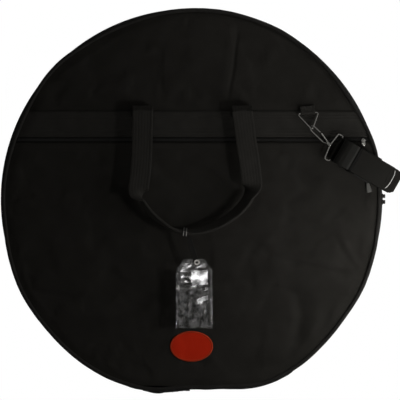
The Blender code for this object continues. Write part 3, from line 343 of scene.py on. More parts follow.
def wire(name, points, radius, material, closed=False, sides=12):
    """A round wire or cord along a line."""
    points = np.asarray(points, float)
    along = tangents(points, closed)
    normal = np.cross(along[0], (0.0, 0.0, 1.0))
    if np.linalg.norm(normal) < 0.1:
        normal = np.cross(along[0], (1.0, 0.0, 0.0))
    normals = []
    for t in along:
        normal = unit(normal - t * np.dot(normal, t))
        normals.append(normal)
    normals = np.array(normals)
    binormals = np.cross(along, normals)
    turns = np.arange(sides) * math.tau / sides
    radius = np.broadcast_to(np.asarray(radius, float), (len(points),))
    rings = (points[:, None] + normals[:, None] * (np.cos(turns)[None, :, None] * radius[:, None, None])
             + binormals[:, None] * (np.sin(turns)[None, :, None] * radius[:, None, None]))
    run = lengths(points)
    uvs = stacked(turns * float(radius.mean()), run[:, None])
    return tube_mesh(name, rings, material, uvs, closed)


def merged(name, parts, material):
    """Many small closed solids as one piece: each part is points and faces."""
    points, faces, base = [], [], 0
    for pts, fcs in parts:
        points.extend(map(tuple, pts))
        faces.extend(tuple(base + i for i in f) for f in fcs)
        base += len(pts)
    uvs = [(p[0], p[1]) for p in points]
    return outward(mesh_object(name, points, faces, uvs, material))


SIX_TURNS = np.arange(6) * math.tau / 6
SEED_FACES = ([(0, 1 + i, 1 + (i + 1) % 6) for i in range(6)]
               + [(1 + i, 7 + i, 7 + (i + 1) % 6, 1 + (i + 1) % 6) for i in range(6)]
               + [(13, 7 + (i + 1) % 6, 7 + i) for i in range(6)])


def seed(centre, along, across, up, length, width, height):
    """A stitch: a short rounded thread lying on the cloth."""
    points = [centre - along * length / 2]
    for s in (-0.3, 0.3):
        for a in SIX_TURNS:
            points.append(centre + along * length * s + across * math.cos(a) * width / 2
                          + up * math.sin(a) * height / 2)
    points.append(centre + along * length / 2)
    return points, SEED_FACES


def stitches(name, line, ups, material, pitch=0.0034, length=0.0024, width=0.0006):
    """A row of stitches along a line on a surface, whose upward direction is given once or along the line."""
    line = np.asarray(line, float)
    ups = np.broadcast_to(np.asarray(ups, float), line.shape)
    run = lengths(line)
    parts = []

    def at(values, s):
        return np.array([np.interp(s, run, values[:, k]) for k in range(3)])

    for s in np.arange(pitch / 2, run[-1], pitch):
        centre = at(line, s)
        along = unit(at(line, min(s + MM, run[-1])) - at(line, max(s - MM, 0)))
        up = unit(at(ups, s))
        across = unit(np.cross(up, along))
        parts.append(seed(centre + up * width * 0.15, along, across, up, length, width, width * 0.8))
    return merged(name, parts, material)


# Materials

class Stuff:
    """A Principled material and short ways to add the nodes that its surface needs."""

    def __init__(self, name, roughness, metallic=0.0, specular=0.5):
        self.material = bpy.data.materials.new(name)
        self.material.use_nodes = True
        self.tree = self.material.node_tree
        self.shader = self.tree.nodes["Principled BSDF"]
        self.shader.inputs["Roughness"].default_value = roughness
        self.shader.inputs["Metallic"].default_value = metallic
        self.shader.inputs["Specular IOR Level"].default_value = specular
        self.bump_end = None

    def feed(self, socket, value):
        """Links a socket to another node's, or sets it to a number."""
        if isinstance(value, bpy.types.NodeSocket):
            self.tree.links.new(value, socket)
        else:
            socket.default_value = value

    def node(self, kind, **inputs):
        made = self.tree.nodes.new("ShaderNode" + kind)
        for key, value in inputs.items():
            self.feed(made.inputs[key.replace("_", " ")], value)
        return made

    def metres(self):
        """Texture coordinates in metres along the cloth."""
        made = self.node("UVMap")
        made.uv_map = "metres"
        return made.outputs["UV"]

    def place(self):
        return self.node("TexCoord").outputs["Object"]

    def noise(self, where, scale, detail=2.0, roughness=0.5):
        made = self.node("TexNoise", Vector=where, Scale=scale, Detail=detail, Roughness=roughness)
        return made.outputs["Fac"]

    def bands(self, where, pitch, axis="X", distortion=0.0):
        made = self.node("TexWave", Vector=where, Scale=math.tau / 20 / pitch, Distortion=distortion)
        made.bands_direction = axis
        return made.outputs["Fac"]

    def math(self, how, a, b):
        made = self.node("Math")
        made.operation = how
        for socket, value in zip(made.inputs, (a, b)):
            self.feed(socket, value)
        return made.outputs[0]

    def mixed(self, first, share, second):
        """Two patterns added, the first one by its share."""
        return self.math("ADD", self.math("MULTIPLY", first, share), self.math("MULTIPLY", second, 1 - share))

    def ramp(self, value, *stops):
        made = self.node("ValToRGB", Fac=value)
        ends = made.color_ramp.elements
        while len(ends) < len(stops):
            ends.new(0.5)
        for end, (at, colour) in zip(ends, stops):
            end.position = at
            end.color = (*colour, 1.0)
        return made.outputs["Color"]

    def colour(self, value):
        self.tree.links.new(value, self.shader.inputs["Base Color"])

    def rough(self, value, low, high):
        ranged = self.node("MapRange", Value=value, To_Min=low, To_Max=high)
        self.tree.links.new(ranged.outputs["Result"], self.shader.inputs["Roughness"])

    def bump(self, height, distance, strength=1.0):
        made = self.node("Bump", Height=height, Distance=distance, Strength=strength)
        if self.bump_end is not None:
            self.tree.links.new(self.bump_end, made.inputs["Normal"])
        self.bump_end = made.outputs["Normal"]
        self.tree.links.new(self.bump_end, self.shader.inputs["Normal"])


def woven(name, dark, light, thread, roughness=0.72, specular=0.015, grain=0.00022):
    """Plain woven cloth: threads both ways, an uneven dye, and soft handling marks."""
    cloth = Stuff(name, roughness, specular=specular)
    where = cloth.metres()
    warp = cloth.bands(where, thread, "X", 0.6)
    weft = cloth.bands(where, thread, "Y", 0.6)
    weave = cloth.math("MULTIPLY", warp, weft)
    broad = cloth.noise(where, 38.0, 3.0, 0.6)
    fine = cloth.noise(where, 420.0, 4.0, 0.7)
    cloth.colour(cloth.ramp(cloth.mixed(broad, 0.65, fine), (0.30, dark), (0.68, light)))
    cloth.rough(fine, roughness - 0.08, roughness + 0.08)
    cloth.bump(fine, grain)
    cloth.bump(weave, thread * 0.22, 0.6)
    return cloth.material


def ribbed(name, dark, light, pitch=0.0011, roughness=0.6):
    """Webbing: fine cross threads in lengthwise rows."""
    tape = Stuff(name, roughness, specular=0.02)
    where = tape.metres()
    rows = tape.bands(where, pitch * 1.6, "X", 0.3)
    threads = tape.bands(where, pitch, "Y", 0.8)
    fuzz = tape.noise(where, 900.0, 3.0, 0.7)
    wear = tape.noise(where, 60.0, 3.0, 0.55)
    tape.colour(tape.ramp(tape.mixed(wear, 0.6, fuzz), (0.32, dark), (0.70, light)))
    tape.rough(fuzz, roughness - 0.08, roughness + 0.1)
    tape.bump(fuzz, 0.0002)
    tape.bump(tape.math("MULTIPLY", rows, threads), pitch * 0.2, 0.8)
    return tape.material


def plated(name, colour, roughness):
    """Nickel plate with fine drawn scratches and dull spots."""
    metal = Stuff(name, roughness, metallic=1.0)
    where = metal.place()
    dull = metal.noise(where, 300.0, 4.0, 0.6)
    metal.colour(metal.ramp(dull, (0.25, tuple(c * 0.78 for c in colour)), (0.7, colour)))
    metal.rough(dull, roughness - 0.08, roughness + 0.12)
    metal.bump(metal.noise(where, 1500.0, 2.0), 0.00004)
    return metal.material


def moulded(name, colour, roughness=0.45, specular=0.3):
    """Moulded plastic with a fine spark-eroded grain."""
    plastic = Stuff(name, roughness, specular=specular)
    where = plastic.place()
    grain = plastic.noise(where, 1800.0, 3.0, 0.6)
    tone = plastic.noise(where, 90.0)
    plastic.colour(plastic.ramp(tone, (0.3, tuple(c * 0.8 for c in colour)), (0.7, colour)))
    plastic.rough(grain, roughness - 0.07, roughness + 0.1)
    plastic.bump(grain, 0.00008)
    return plastic.material


def embroidered(name, dark, light, pitch=0.0006):
    """Satin stitch: close parallel threads with a silky shine."""
    thread = Stuff(name, 0.5, specular=0.01)
    where = thread.metres()
    rows = thread.bands(where, pitch, "X", 1.2)
    uneven = thread.noise(where, 700.0, 3.0, 0.6)
    thread.colour(thread.ramp(thread.mixed(rows, 0.35, uneven), (0.25, dark), (0.75, light)))
    thread.rough(uneven, 0.42, 0.62)
    thread.bump(rows, 0.00018, 0.8)
    return thread.material


def clear_vinyl(name):
    """Soft clear film: it lets what is behind show, and its creases catch the light; the light grey of its
    crinkled colour is a painted highlight on those creases.
    """
    film = Stuff(name, 0.08, specular=1.0)
    film.shader.inputs["IOR"].default_value = 1.5
    crinkle = film.noise(film.place(), 170.0, 5.0, 0.68)
    # Colour by crinkle noise, from near black to light grey: the light grey is painted highlight on the
    # creases
    film.colour(film.ramp(crinkle, (0.38, (0.003, 0.003, 0.003)), (0.50, (0.040, 0.039, 0.036)),
                          (0.62, (0.190, 0.184, 0.172))))
    film.rough(crinkle, 0.05, 0.12)
    cloud = film.noise(film.place(), 95.0, 5.0, 0.66)
    low, high = FILM_ALPHA
    haze = film.node("MapRange", Value=cloud, From_Min=0.42, From_Max=0.62, To_Min=low, To_Max=high)
    film.tree.links.new(haze.outputs["Result"], film.shader.inputs["Alpha"])
    return film.material


NYLON = woven("pack_cloth", (0.0066, 0.0061, 0.0052), (0.0108, 0.0101, 0.0088), 0.00085)
# The wall's cloth is the face's cloth, coloured about 0.6 times as dark: painted shade on the steep side wall
SHADED_WALL_CLOTH = woven("wall_cloth_painted_shade", (0.0038, 0.0035, 0.0030), (0.0066, 0.0062, 0.0054), 0.0009)
LINING = woven("lining_cloth", (0.010, 0.010, 0.011), (0.018, 0.018, 0.020), 0.0005, 0.6, 0.03)
WEB = ribbed("strap_webbing", (0.0080, 0.0075, 0.0065), (0.0135, 0.0127, 0.0112))
TAPE = ribbed("zip_tape", (0.0036, 0.0034, 0.0030), (0.0068, 0.0064, 0.0058), pitch=0.0006)
CORD_COVER = woven("piping_cover", (0.0050, 0.0047, 0.0042), (0.0100, 0.0094, 0.0084), 0.0007, 0.62, 0.03)
THREAD = embroidered("sewing_thread", (0.009, 0.0085, 0.0075), (0.018, 0.017, 0.015), 0.0004)
COIL = moulded("zip_coil_nylon", (0.0098, 0.0094, 0.0085), 0.42, 0.04)
NICKEL = plated("nickel_plate", (0.105, 0.102, 0.094), 0.24)
GRIP = moulded("grip_rubber", (0.034, 0.033, 0.029), 0.5, 0.2)
PLASTIC = moulded("black_moulding", (0.006, 0.006, 0.0055), 0.5, 0.04)
RED = embroidered("patch_thread", (0.20, 0.0078, 0.0018), (0.29, 0.0125, 0.0030))
RED_EDGE = embroidered("patch_edge_thread", (0.15, 0.014, 0.005), (0.24, 0.026, 0.009), 0.0009)
BLACK_PLATE = plated("black_plate", (0.020, 0.0195, 0.018), 0.34)
STRAP_VINYL = moulded("tag_strap_vinyl", (0.0060, 0.0058, 0.0052), 0.5, 0.03)
# Light grey, far lighter than the dark strap and webbing that it edges: a painted highlight along the tag
# loop's borders and the strap's cut edge
PAINTED_HIGHLIGHT_GREY = moulded("tag_loop_painted_highlight", (0.16, 0.155, 0.145), 0.35, 0.5)
KEEPER = moulded("strap_keeper", (0.0060, 0.0058, 0.0050), 0.52, 0.03)
BUNDLE_WEB = ribbed("bundle_webbing", (0.0034, 0.0032, 0.0027), (0.0066, 0.0062, 0.0053))
VINYL = clear_vinyl("tag_film")
CARD = woven("tag_card_board", (0.008, 0.008, 0.0072), (0.022, 0.021, 0.019), 0.0004, 0.6, grain=0.00005)
CARD.node_tree.nodes["Principled BSDF"].inputs["Alpha"].default_value = CARD_ALPHA


def dress(piece, body, replaced=(), blend=False):
    """Puts a finished piece on its body, or bakes it where it lies when it blends, and hides the CAD nodes
    that it stands for.
    """
    if blend:
        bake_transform(piece)
    else:
        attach(piece, body)
    if replaced:
        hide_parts(*replaced)



# The face: its creases, and the slack of its cloth from a cloth simulation

# Creases of the face: points in pixels of the photograph, height and width in millimetres
CREASES = (
    (((239, 12), (238, 30), (235, 52), (233.5, 68), (230, 86), (226, 108)), -2.2, 2.4),
    (((232, 12), (231, 32), (228, 52), (226, 70), (222, 92)), 0.9, 5.0),
    (((157, 80), (157, 108)), 0.6, 4.0),
    (((140, 20), (130, 42), (118, 65)), 1.3, 16.0),
    (((322, 90), (326, 105)), 0.9, 4.0),
    (((277, 254), (318, 262), (364, 272)), 1.5, 3.0),
    (((279, 259), (318, 268), (362, 277)), -1.6, 3.0),
    (((338, 230), (349, 251), (363, 272)), 1.3, 3.2),
    (((333, 234), (344, 255), (358, 274)), -1.2, 3.2),
    (((362, 273), (354, 294), (341, 312)), 1.2, 4.0),
    (((82, 349), (87, 345), (94, 341), (101, 339)), 1.5, 2.2),
    (((84, 355), (90, 352), (96, 346), (103, 344)), -1.8, 3.2),
    (((286, 282), (296, 297), (301, 315), (297, 335), (288, 356)), -3.0, 10.0),
    (((312, 288), (318, 312), (314, 335)), 1.4, 9.0),
    (((157, 150), (157, 190)), -0.8, 5.0),
    (((262, 215), (270, 250), (283, 285)), 1.2, 16.0),
    (((330, 215), (350, 232)), 0.9, 9.0),
    (((60, 250), (95, 275), (100, 320)), 0.9, 20.0),
    (((200, 20), (192, 60)), 0.8, 14.0),
    (((95, 150), (90, 200)), 0.7, 18.0),
)
CREASE_FADE = 0.35
RIM_DROP = 0.0019
RIM_DROP_REACH = 0.0090
FACE_REST = 0.0016
FACE_LOWEST = 0.0062
SIM_STEP = 0.006
SIM_HALF = 49
SIM_FRAMES = 26
SLACK = 0.013
SLACK_CAP = 0.0008


def near_line(x, y, line):
    """Distance to a line of points, and how far along it the nearest place lies, from 0 to 1."""
    line = np.asarray(line, float)
    run = lengths(line)
    best = np.full(np.shape(x), 9.0)
    share = np.zeros(np.shape(x))
    for a, b, start in zip(line, line[1:], run):
        d = b - a
        long = float(np.hypot(*d))
        t = np.clip(((x - a[0]) * d[0] + (y - a[1]) * d[1]) / long ** 2, 0, 1)
        away = np.hypot(x - a[0] - t * d[0], y - a[1] - t * d[1])
        closer = away < best
        best = np.where(closer, away, best)
        share = np.where(closer, (start + t * long) / run[-1], share)
    return best, share


def slack_field():
    """Heights of the soft folds that cloth with a little slack makes, sewn down at the rim and the belt."""
    count = 2 * SIM_HALF + 1
    axis = (np.arange(count) - SIM_HALF) * SIM_STEP
    x, y = np.meshgrid(axis, axis)
    start = waves(x, y, 5, 0.09) * 0.0012 + waves(x, y, 8, 0.035) * 0.0004
    theta = np.arctan2(y, x)
    sewn = ((np.hypot(x, y) > panel_radius(theta) - SIM_STEP)
            | ((y > POCKET_EDGE_Y - SIM_STEP) & (y < BELT_HIGH_Y + SIM_STEP)))
    start[sewn] = 0.0
    cloth = sheet_mesh("slack_cloth", stacked(x, y, start), stacked(x, y), NYLON)
    held = cloth.vertex_groups.new(name="sewn")
    held.add([int(i) for i in np.nonzero(sewn.ravel())[0]], 1.0, "REPLACE")
    modifier = cloth.modifiers.new("slack", "CLOTH")
    settings = modifier.settings
    settings.quality = 5
    settings.mass = 0.2
    settings.tension_stiffness = settings.compression_stiffness = 12.0
    settings.shear_stiffness = 6.0
    settings.bending_stiffness = 1.2
    settings.vertex_group_mass = "sewn"
    settings.shrink_min = -SLACK
    settings.effector_weights.gravity = 0.0
    modifier.collision_settings.use_collision = False
    modifier.point_cache.frame_start, modifier.point_cache.frame_end = 1, SIM_FRAMES
    for step in range(1, SIM_FRAMES + 1):
        bpy.context.scene.frame_set(step)
    shaped = cloth.evaluated_get(bpy.context.evaluated_depsgraph_get()).to_mesh()
    flat = np.empty(len(shaped.vertices) * 3)
    shaped.vertices.foreach_get("co", flat)
    heights = flat.reshape(count, count, 3)[..., 2].copy()
    bpy.data.objects.remove(cloth, do_unlink=True)
    bpy.context.scene.frame_set(1)
    return SLACK_CAP * np.tanh(heights / SLACK_CAP)


SLACK_FIELD = slack_field()


def slack(x, y):
    """The simulated folds at any place on the face."""
    u = np.clip(x / SIM_STEP + SIM_HALF, 0, 2 * SIM_HALF - 1.001)
    v = np.clip(y / SIM_STEP + SIM_HALF, 0, 2 * SIM_HALF - 1.001)
    i, j = v.astype(int), u.astype(int)
    s, t = ease(u - j), ease(v - i)
    f = SLACK_FIELD
    return (f[i, j] * (1 - s) + f[i, j + 1] * s) * (1 - t) + (f[i + 1, j] * (1 - s) + f[i + 1, j + 1] * s) * t


def face_drop(x, y):
    """How far the face lies below its highest level, in metres."""
    x, y = np.broadcast_arrays(np.asarray(x, float), np.asarray(y, float))
    theta = np.arctan2(y, x)
    rim = np.maximum(panel_radius(theta) - np.hypot(x, y), 0.0)
    belt = np.minimum(np.abs(y - BELT_LOW_Y), np.abs(y - BELT_HIGH_Y))
    belt = np.where((y > POCKET_EDGE_Y) & (y < BELT_HIGH_Y), 0.0, np.minimum(belt, np.abs(y - POCKET_EDGE_Y)))
    free = ease(belt / 0.030) * ease(rim / 0.022)
    z = slack(x, y) + waves(x, y, 21, 0.055) * 0.00022
    for line, height, width in CREASES:
        away, share = near_line(x, y, [from_photo(*p) for p in line])
        fade = ease(share / CREASE_FADE) * ease((1 - share) / CREASE_FADE) * 0.75 + 0.25
        z = z + bell(away / (width * MM)) * height * MM * fade
    z = z * (0.12 + 0.88 * free)
    z = np.where(z > 0, FACE_REST * np.tanh(z / FACE_REST), z) - FACE_REST * (0.35 + 0.65 * free)
    z = np.clip(z, -FACE_LOWEST, 0.0)
    return z - RIM_DROP * bell(rim / RIM_DROP_REACH)


def face_sheet(name, low_y, high_y, level, step, material, inset, rise, drop):
    """A layer of cloth across the face, whose rows end at the rim and whose upper edge drops."""
    ys = panel_rows(low_y, high_y, step)
    left, right = chord(ys, inset)
    columns = int(np.max(right - left) / step) + 1
    share = (1 - np.cos(np.linspace(0, math.pi, columns))) / 2 * 0.25 + np.linspace(0, 1, columns) * 0.75
    x, y = between(left, right, share, ys)
    grid = stacked(x, y, level + face_drop(x, y) + rise(x, y))
    lip = grid[-1:] - (0.0, 0.0002, drop)
    flat = stacked(x, y)
    return sheet_mesh(name, np.concatenate([grid, lip]), np.concatenate([flat, flat[-1:]]), material)


# Panels

def panel_pad(name, step, top, under, material, back=False):
    """A round padded panel: an upper and an under skin that meet in the seam at its rim."""
    ys = panel_rows(-1.0, 1.0, step, back)
    left, right = chord(ys, 0.0, back)
    count = int(np.max(right - left) / step) + 1
    share = np.concatenate([np.linspace(0, 1, count), np.linspace(0.995, 0.005, count // 2)])
    x, y = between(left, right, share, ys)
    z = np.concatenate([top(x[:, :count], y[:, :count]), under(x[:, count:], y[:, count:])], 1)
    return tube_mesh(name, stacked(x, y, z), material)


FRONT_UNDER = 0.0518
front_pad = panel_pad("front_pad", 0.0030, lambda x, y: FACE_Z + face_drop(x, y),
                      lambda x, y: FRONT_UNDER + waves(x, y, 31, 0.08) * 0.0006, NYLON)
dress(front_pad, "",
      ("front_panel_lower", "front_panel_upper", "front_foam_lower", "front_foam_upper"), True)


def hem_rise(x, y):
    """The folded hem at the pocket's mouth, and the dips along its two rows of stitches."""
    hem = ease((y - (HEM_LOW_Y - 0.0012)) / 0.0012) * 0.0005
    for row in HEM_STITCH_Y:
        hem = hem - bell((y - row) / 0.0011) * 0.0004
    return hem


HEM_LOW_Y = 0.0752
HEM_STITCH_Y = (0.0819, 0.0764)
pocket_cloth = face_sheet("pocket_cloth", -1.0, POCKET_EDGE_Y, CLOTH_TOP, 0.0032, NYLON, 0.0004, hem_rise,
                          0.0016)
dress(pocket_cloth, "", ("pocket_panel_lower", "pocket_panel_upper"), True)
pocket_heights = np.linspace(-panel_radius(-math.pi / 2), POCKET_EDGE_Y, 400)
pocket_widths = np.subtract(*chord(pocket_heights)[::-1])
POCKET_EDGE_Y + panel_radius(-math.pi / 2)


def on_face(xs, ys, level):
    """A line of points on the face, and the cloth's upward directions there."""
    xs, ys = np.broadcast_arrays(np.asarray(xs, float), np.asarray(ys, float))
    d = 0.0008
    z = level + face_drop(xs, ys)
    dx = (face_drop(xs + d, ys) - face_drop(xs - d, ys)) / (2 * d)
    dy = (face_drop(xs, ys + d) - face_drop(xs, ys - d)) / (2 * d)
    return stacked(xs, ys, z), unit(stacked(-dx, -dy, 1.0))


def face_stitches(name, y, level, inset=0.004, **sizes):
    left, right = (float(v) for v in chord(y, inset))
    line, ups = on_face(np.linspace(left, right, 220), y, level)
    return stitches(name, line, ups, THREAD, **sizes)


for number, row in enumerate(HEM_STITCH_Y):
    hem_row = face_stitches(f"pocket_hem_stitches_{number + 1}", row, CLOTH_TOP + 0.0003)
    dress(hem_row, "flap")

# The thin lining sheets inside, seen when the flap is open
for label, back, level, seed_number, nodes in (
        ("front", False, 0.0509, 41, ("front_lining_lower", "front_lining_upper")),
        ("back", True, 0.0141, 43, ("back_lining",))):
    ys = panel_rows(-1.0, 1.0, 0.0056, back)
    left, right = chord(ys, 0.0024, back)
    x, y = between(left, right, np.linspace(0, 1, 100), ys)
    grid = stacked(x, y, level + waves(x, y, seed_number, 0.07) * 0.0004)
    lining = sheet_mesh(f"{label}_lining_cloth", grid, grid[..., :2], LINING, flip=not back)
    dress(lining, "bag", nodes, not back)

# Back panel, with the dents that its belt, handle and ring press into it
BACK_HANDLE_PATH = ((-0.078, 0.143), (-0.078, -0.007), (-0.054, -0.031), (0.054, -0.031), (0.078, -0.007),
                    (0.078, 0.143))
BACK_BELT_Y = (0.098, 0.149)
BACK_RING_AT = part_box("back_ring")


def back_under(x, y):
    away = near_line(x, y, BACK_HANDLE_PATH)[0]
    handle = 0.0023 * (1 - ease((away - 0.0164) / 0.003))
    middle, half = sum(BACK_BELT_Y) / 2, (BACK_BELT_Y[1] - BACK_BELT_Y[0]) / 2
    belt = 0.0044 * (1 - ease((np.abs(y - middle) - half - 0.0004) / 0.003))
    low, high = BACK_RING_AT
    ring_away = np.maximum(np.abs(x - (low.x + high.x) / 2) - (high.x - low.x) / 2,
                           np.maximum(low.y - 0.002 - y, y - high.y - 0.018))
    ring = 0.0068 * (1 - ease((ring_away - 0.001) / 0.003))
    rim = np.maximum(panel_radius(np.arctan2(y, x), True) - np.hypot(x, y), 0.0)
    dents = np.maximum(np.maximum(handle, belt), ring)
    return dents + 0.0003 + waves(x, y, 51, 0.06) * 0.00025 + 0.0030 * bell(rim / 0.008)


back_pad = panel_pad("back_pad", 0.0036, lambda x, y: 0.0133 + 0 * x, back_under, NYLON, back=True)
dress(back_pad, "bag", ("back_panel", "back_foam"))


# Wall: its strips, zipper and piping

FOLD_TURN = math.asin(FOLD.y / RIM_R)
# How far the zipped wall follows the outline, by the angle over its bulge: not at all beside the zipper, so
# that its pulls clear it, and as far as the back's seam at its borders
ZIP_WALL = ((-57.5, 0.60), (-50, 0.50), (-43, 0.35), (-36, 0.20), (-28, 0.05), (-21, 0.0), (21, 0.0),
            (26, 0.15), (34, 0.42), (44, 0.58), (57.5, 0.60))
WALL_CHANGE = (math.radians(7), math.radians(19))
# The tapes reach under the wall's strips by an angle, and the strips a little over the tapes
TAPE_REACH, STRIP_REACH = 0.02, 0.006
WALL_LIFT_FROM = TAPE_PHI + TAPE_REACH
# The wall goes on under the back panel's seam
WALL_LOW = -GUSSET_PHI - 0.10
ZIP_PHI, ZIP_SHARE = (np.array(column, float) for column in zip(*ZIP_WALL))


def wall(theta, phi, out=0.0):
    """Points of the wall's outer face, at angles round the bag and over the wall's bulge."""
    theta, phi = np.broadcast_arrays(np.asarray(theta, float), np.asarray(phi, float))
    stand = extra(theta)
    turn = np.mod(theta + math.pi / 2 + math.pi, math.tau) - math.pi
    below = (FOLD_TURN + math.pi / 2) - np.abs(turn)
    plain = ease((below - WALL_CHANGE[0]) / (WALL_CHANGE[1] - WALL_CHANGE[0]))
    zipped = stand * np.interp(np.degrees(phi), ZIP_PHI, ZIP_SHARE)
    bulge = np.cos(phi * math.pi / 2 / GUSSET_PHI)
    whole = stand * (SEAM_SHARE + (1 - SEAM_SHARE) * bulge)
    free = ease((np.abs(phi) - TAPE_PHI) / math.radians(8)) * (1 - plain) + plain
    pucker = (waves(theta * RIM_R, phi * GUSSET_R, 61, 0.045) * 0.0006
              + waves(theta * RIM_R, phi * GUSSET_R * 0.4, 62, 0.016) * 0.0002)
    pucker = pucker * free * bulge
    lift = ease((phi - WALL_LIFT_FROM) / (GUSSET_PHI - WALL_LIFT_FROM))
    lift = lift * (seam_radius(theta) - SEAM_R - SEAM_SHARE * stand)
    r = GUSSET_C + (GUSSET_R + out) * np.cos(phi) + zipped * (1 - plain) + whole * plain + lift + pucker
    z = GUSSET_MID_Z + (GUSSET_R + out) * np.sin(phi)
    return stacked(r * np.cos(theta), r * np.sin(theta), z)


def wall_strip(name, start, end, low, high, material, out=0.0, thickness=SKIN, step=math.radians(1.25),
               steps=9, crown=None):
    """A strip of the wall with its own thickness, between two angles each way; a crown rises along it."""
    thetas = np.linspace(start, end, int(abs(end - start) / step) + 3)
    phis = np.linspace(low, high, steps)
    high_at, height = crown or ((start + end) / 2, 0.0)
    climb = np.where(thetas < high_at, (thetas - start) / (high_at - start), (end - thetas) / (end - high_at))
    outer = out + height * ease(climb[:, None])
    rings = np.concatenate([wall(thetas[:, None], phis[None], outer),
                            wall(thetas[:, None], phis[None, ::-1], out - thickness)], 1)
    across = np.concatenate([phis, phis[::-1] + 2.0]) * GUSSET_R
    return tube_mesh(name, rings, material, stacked(thetas[:, None] * RIM_R, across))


ZIP_START, ZIP_END = FOLD_TURN, math.pi - FOLD_TURN
LOW_START, LOW_END = math.pi - FOLD_TURN, math.tau + FOLD_TURN
wall_lower = wall_strip("wall_lower", LOW_START, LOW_END, WALL_LOW, GUSSET_PHI, SHADED_WALL_CLOTH, steps=24)
dress(wall_lower, "bag", ("gusset_lower",))
wall_back = wall_strip("wall_back", ZIP_START, ZIP_END, WALL_LOW, -TAPE_PHI - STRIP_REACH, SHADED_WALL_CLOTH, steps=14)
dress(wall_back, "bag", ("gusset_back_upper",))


def rising(piece, replaced):
    """A part of the wall above the zipper: baked where it lies, and standing in for its CAD node, which is
    hidden.
    """
    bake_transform(piece)
    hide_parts(replaced)


wall_front = wall_strip("wall_front", ZIP_START, ZIP_END, TAPE_PHI + STRIP_REACH, GUSSET_PHI, SHADED_WALL_CLOTH, steps=12)
rising(wall_front, "gusset_front_upper")

tape_back = wall_strip("zip_tape_back", ZIP_START, ZIP_END, -TAPE_PHI - TAPE_REACH, -COIL_PHI, TAPE, -0.0005,
                       0.0010, steps=6)
dress(tape_back, "bag", ("main_zip_tape_back",))
tape_front = wall_strip("zip_tape_front", ZIP_START, ZIP_END, COIL_PHI, TAPE_PHI + TAPE_REACH, TAPE, -0.0005,
                        0.0010, steps=6)
rising(tape_front, "main_zip_tape_front")

TOOTH_PITCH = 0.0021


def wall_teeth(name, side):
    """One row of the coil's loops round the wall, each a short rounded bar."""
    parts = []
    faces = [tuple(range(6)), tuple(range(17, 11, -1))] + grid_faces(3, 6, wrap=True)
    shift = TOOTH_PITCH / RIM_R / 2 if side < 0 else 0.0
    for theta in np.arange(ZIP_START, ZIP_END, TOOTH_PITCH / RIM_R):
        a = theta + shift
        radial = np.array([math.cos(a), math.sin(a), 0.0])
        along = np.array([-math.sin(a), math.cos(a), 0.0])
        ends = []
        for height, grow in ((0.0002, 0.75), (0.0008, 1.0), (0.0031, 0.9)):
            centre = radial * (RIM_R + 0.0001) + np.array([0, 0, GUSSET_MID_Z + side * height])
            ends.append([centre + along * math.cos(t) * 0.00085 * grow + radial * math.sin(t) * 0.00125 * grow
                         for t in SIX_TURNS])
        parts.append(([p for end in ends for p in end], faces))
    return merged(name, parts, COIL)


teeth_back = wall_teeth("zip_teeth_back", -1)
dress(teeth_back, "bag", ("main_zip_coil_back",))
teeth_front = wall_teeth("zip_teeth_front", 1)
rising(teeth_front, "main_zip_coil_front")



def wall_stitches(name, turns, phis, out, **sizes):
    """A row of stitches along a line on the wall."""
    ups = unit(stacked(np.cos(turns) * np.cos(phis), np.sin(turns) * np.cos(phis), np.sin(phis)))
    dress(stitches(name, wall(turns, phis, out), ups, THREAD, **sizes), "bag")


CHAIN_END_TURN = math.asin((FOLD.y - 0.032) / RIM_R)
STOP_TURN = CHAIN_END_TURN - 0.026 / RIM_R
CHAIN_PHI, STOP_PHI = 0.0031 / GUSSET_R, 0.010 / GUSSET_R
for label, mirror in (("right", False), ("left", True)):
    for kind, low, high, reach, out, stuff in (
            ("chain_end", CHAIN_END_TURN, FOLD_TURN, CHAIN_PHI, 0.0011, TAPE),
            ("stop", STOP_TURN, CHAIN_END_TURN, STOP_PHI, 0.0007, WEB)):
        start, end = (math.pi - high, math.pi - low) if mirror else (low, high)
        cover = wall_strip(f"zip_{kind}_cover_{label}", start, end, -reach, reach, stuff, out, 0.0012,
                           math.radians(0.8), 7, ((start + end) / 2, 0.0006))
        dress(cover, "bag", (f"main_zip_{kind}_{label}",))
    start, end = sorted((CHAIN_END_TURN - 0.01, STOP_TURN + 0.008))
    if mirror:
        start, end = math.pi - end, math.pi - start
    along, side = np.linspace(start, end, 12), np.full(12, 0.8 * STOP_PHI)
    across = np.linspace(-0.8, 0.8, 9) * STOP_PHI
    turns = np.concatenate([along, np.full(9, end), along[::-1], np.full(9, start)])
    phis = np.concatenate([-side, across, side, across[::-1]])
    wall_stitches(f"zip_stop_stitches_{label}", turns, phis, 0.0014)

# At the bottom the wall's ends overlap: a cover with cross seams, and a tuck beside it
JOIN_START, JOIN_END, JOIN_PHI = math.radians(-102), math.radians(-90.5), math.radians(44)
JOIN_STEP, JOIN_STEPS = math.radians(0.5), 26
join_cover = wall_strip("wall_join_cover", JOIN_START, JOIN_END, -JOIN_PHI, JOIN_PHI, WEB, 0.0023, 0.0019,
                        JOIN_STEP, JOIN_STEPS)
dress(join_cover, "bag", ("gusset_join_cover",))
TUCK_START, TUCK_TOP, TUCK_END = np.radians((-104.3, -99.5, -96.4))
tuck = wall_strip("wall_join_tuck", TUCK_START, TUCK_END, -JOIN_PHI * 0.9, JOIN_PHI * 0.9, SHADED_WALL_CLOTH, 0.0006,
                  0.0012, JOIN_STEP, JOIN_STEPS, (TUCK_TOP, 0.0030))
dress(tuck, "bag")
for number, share in enumerate((0.56, 0.68, 0.8, 0.92)):
    turn = JOIN_START + (JOIN_END - JOIN_START) * share
    phis = np.linspace(-JOIN_PHI * 0.94, JOIN_PHI * 0.94, 60)
    wall_stitches(f"wall_join_stitches_{number + 1}", turn, phis, 0.0024, width=0.0009)


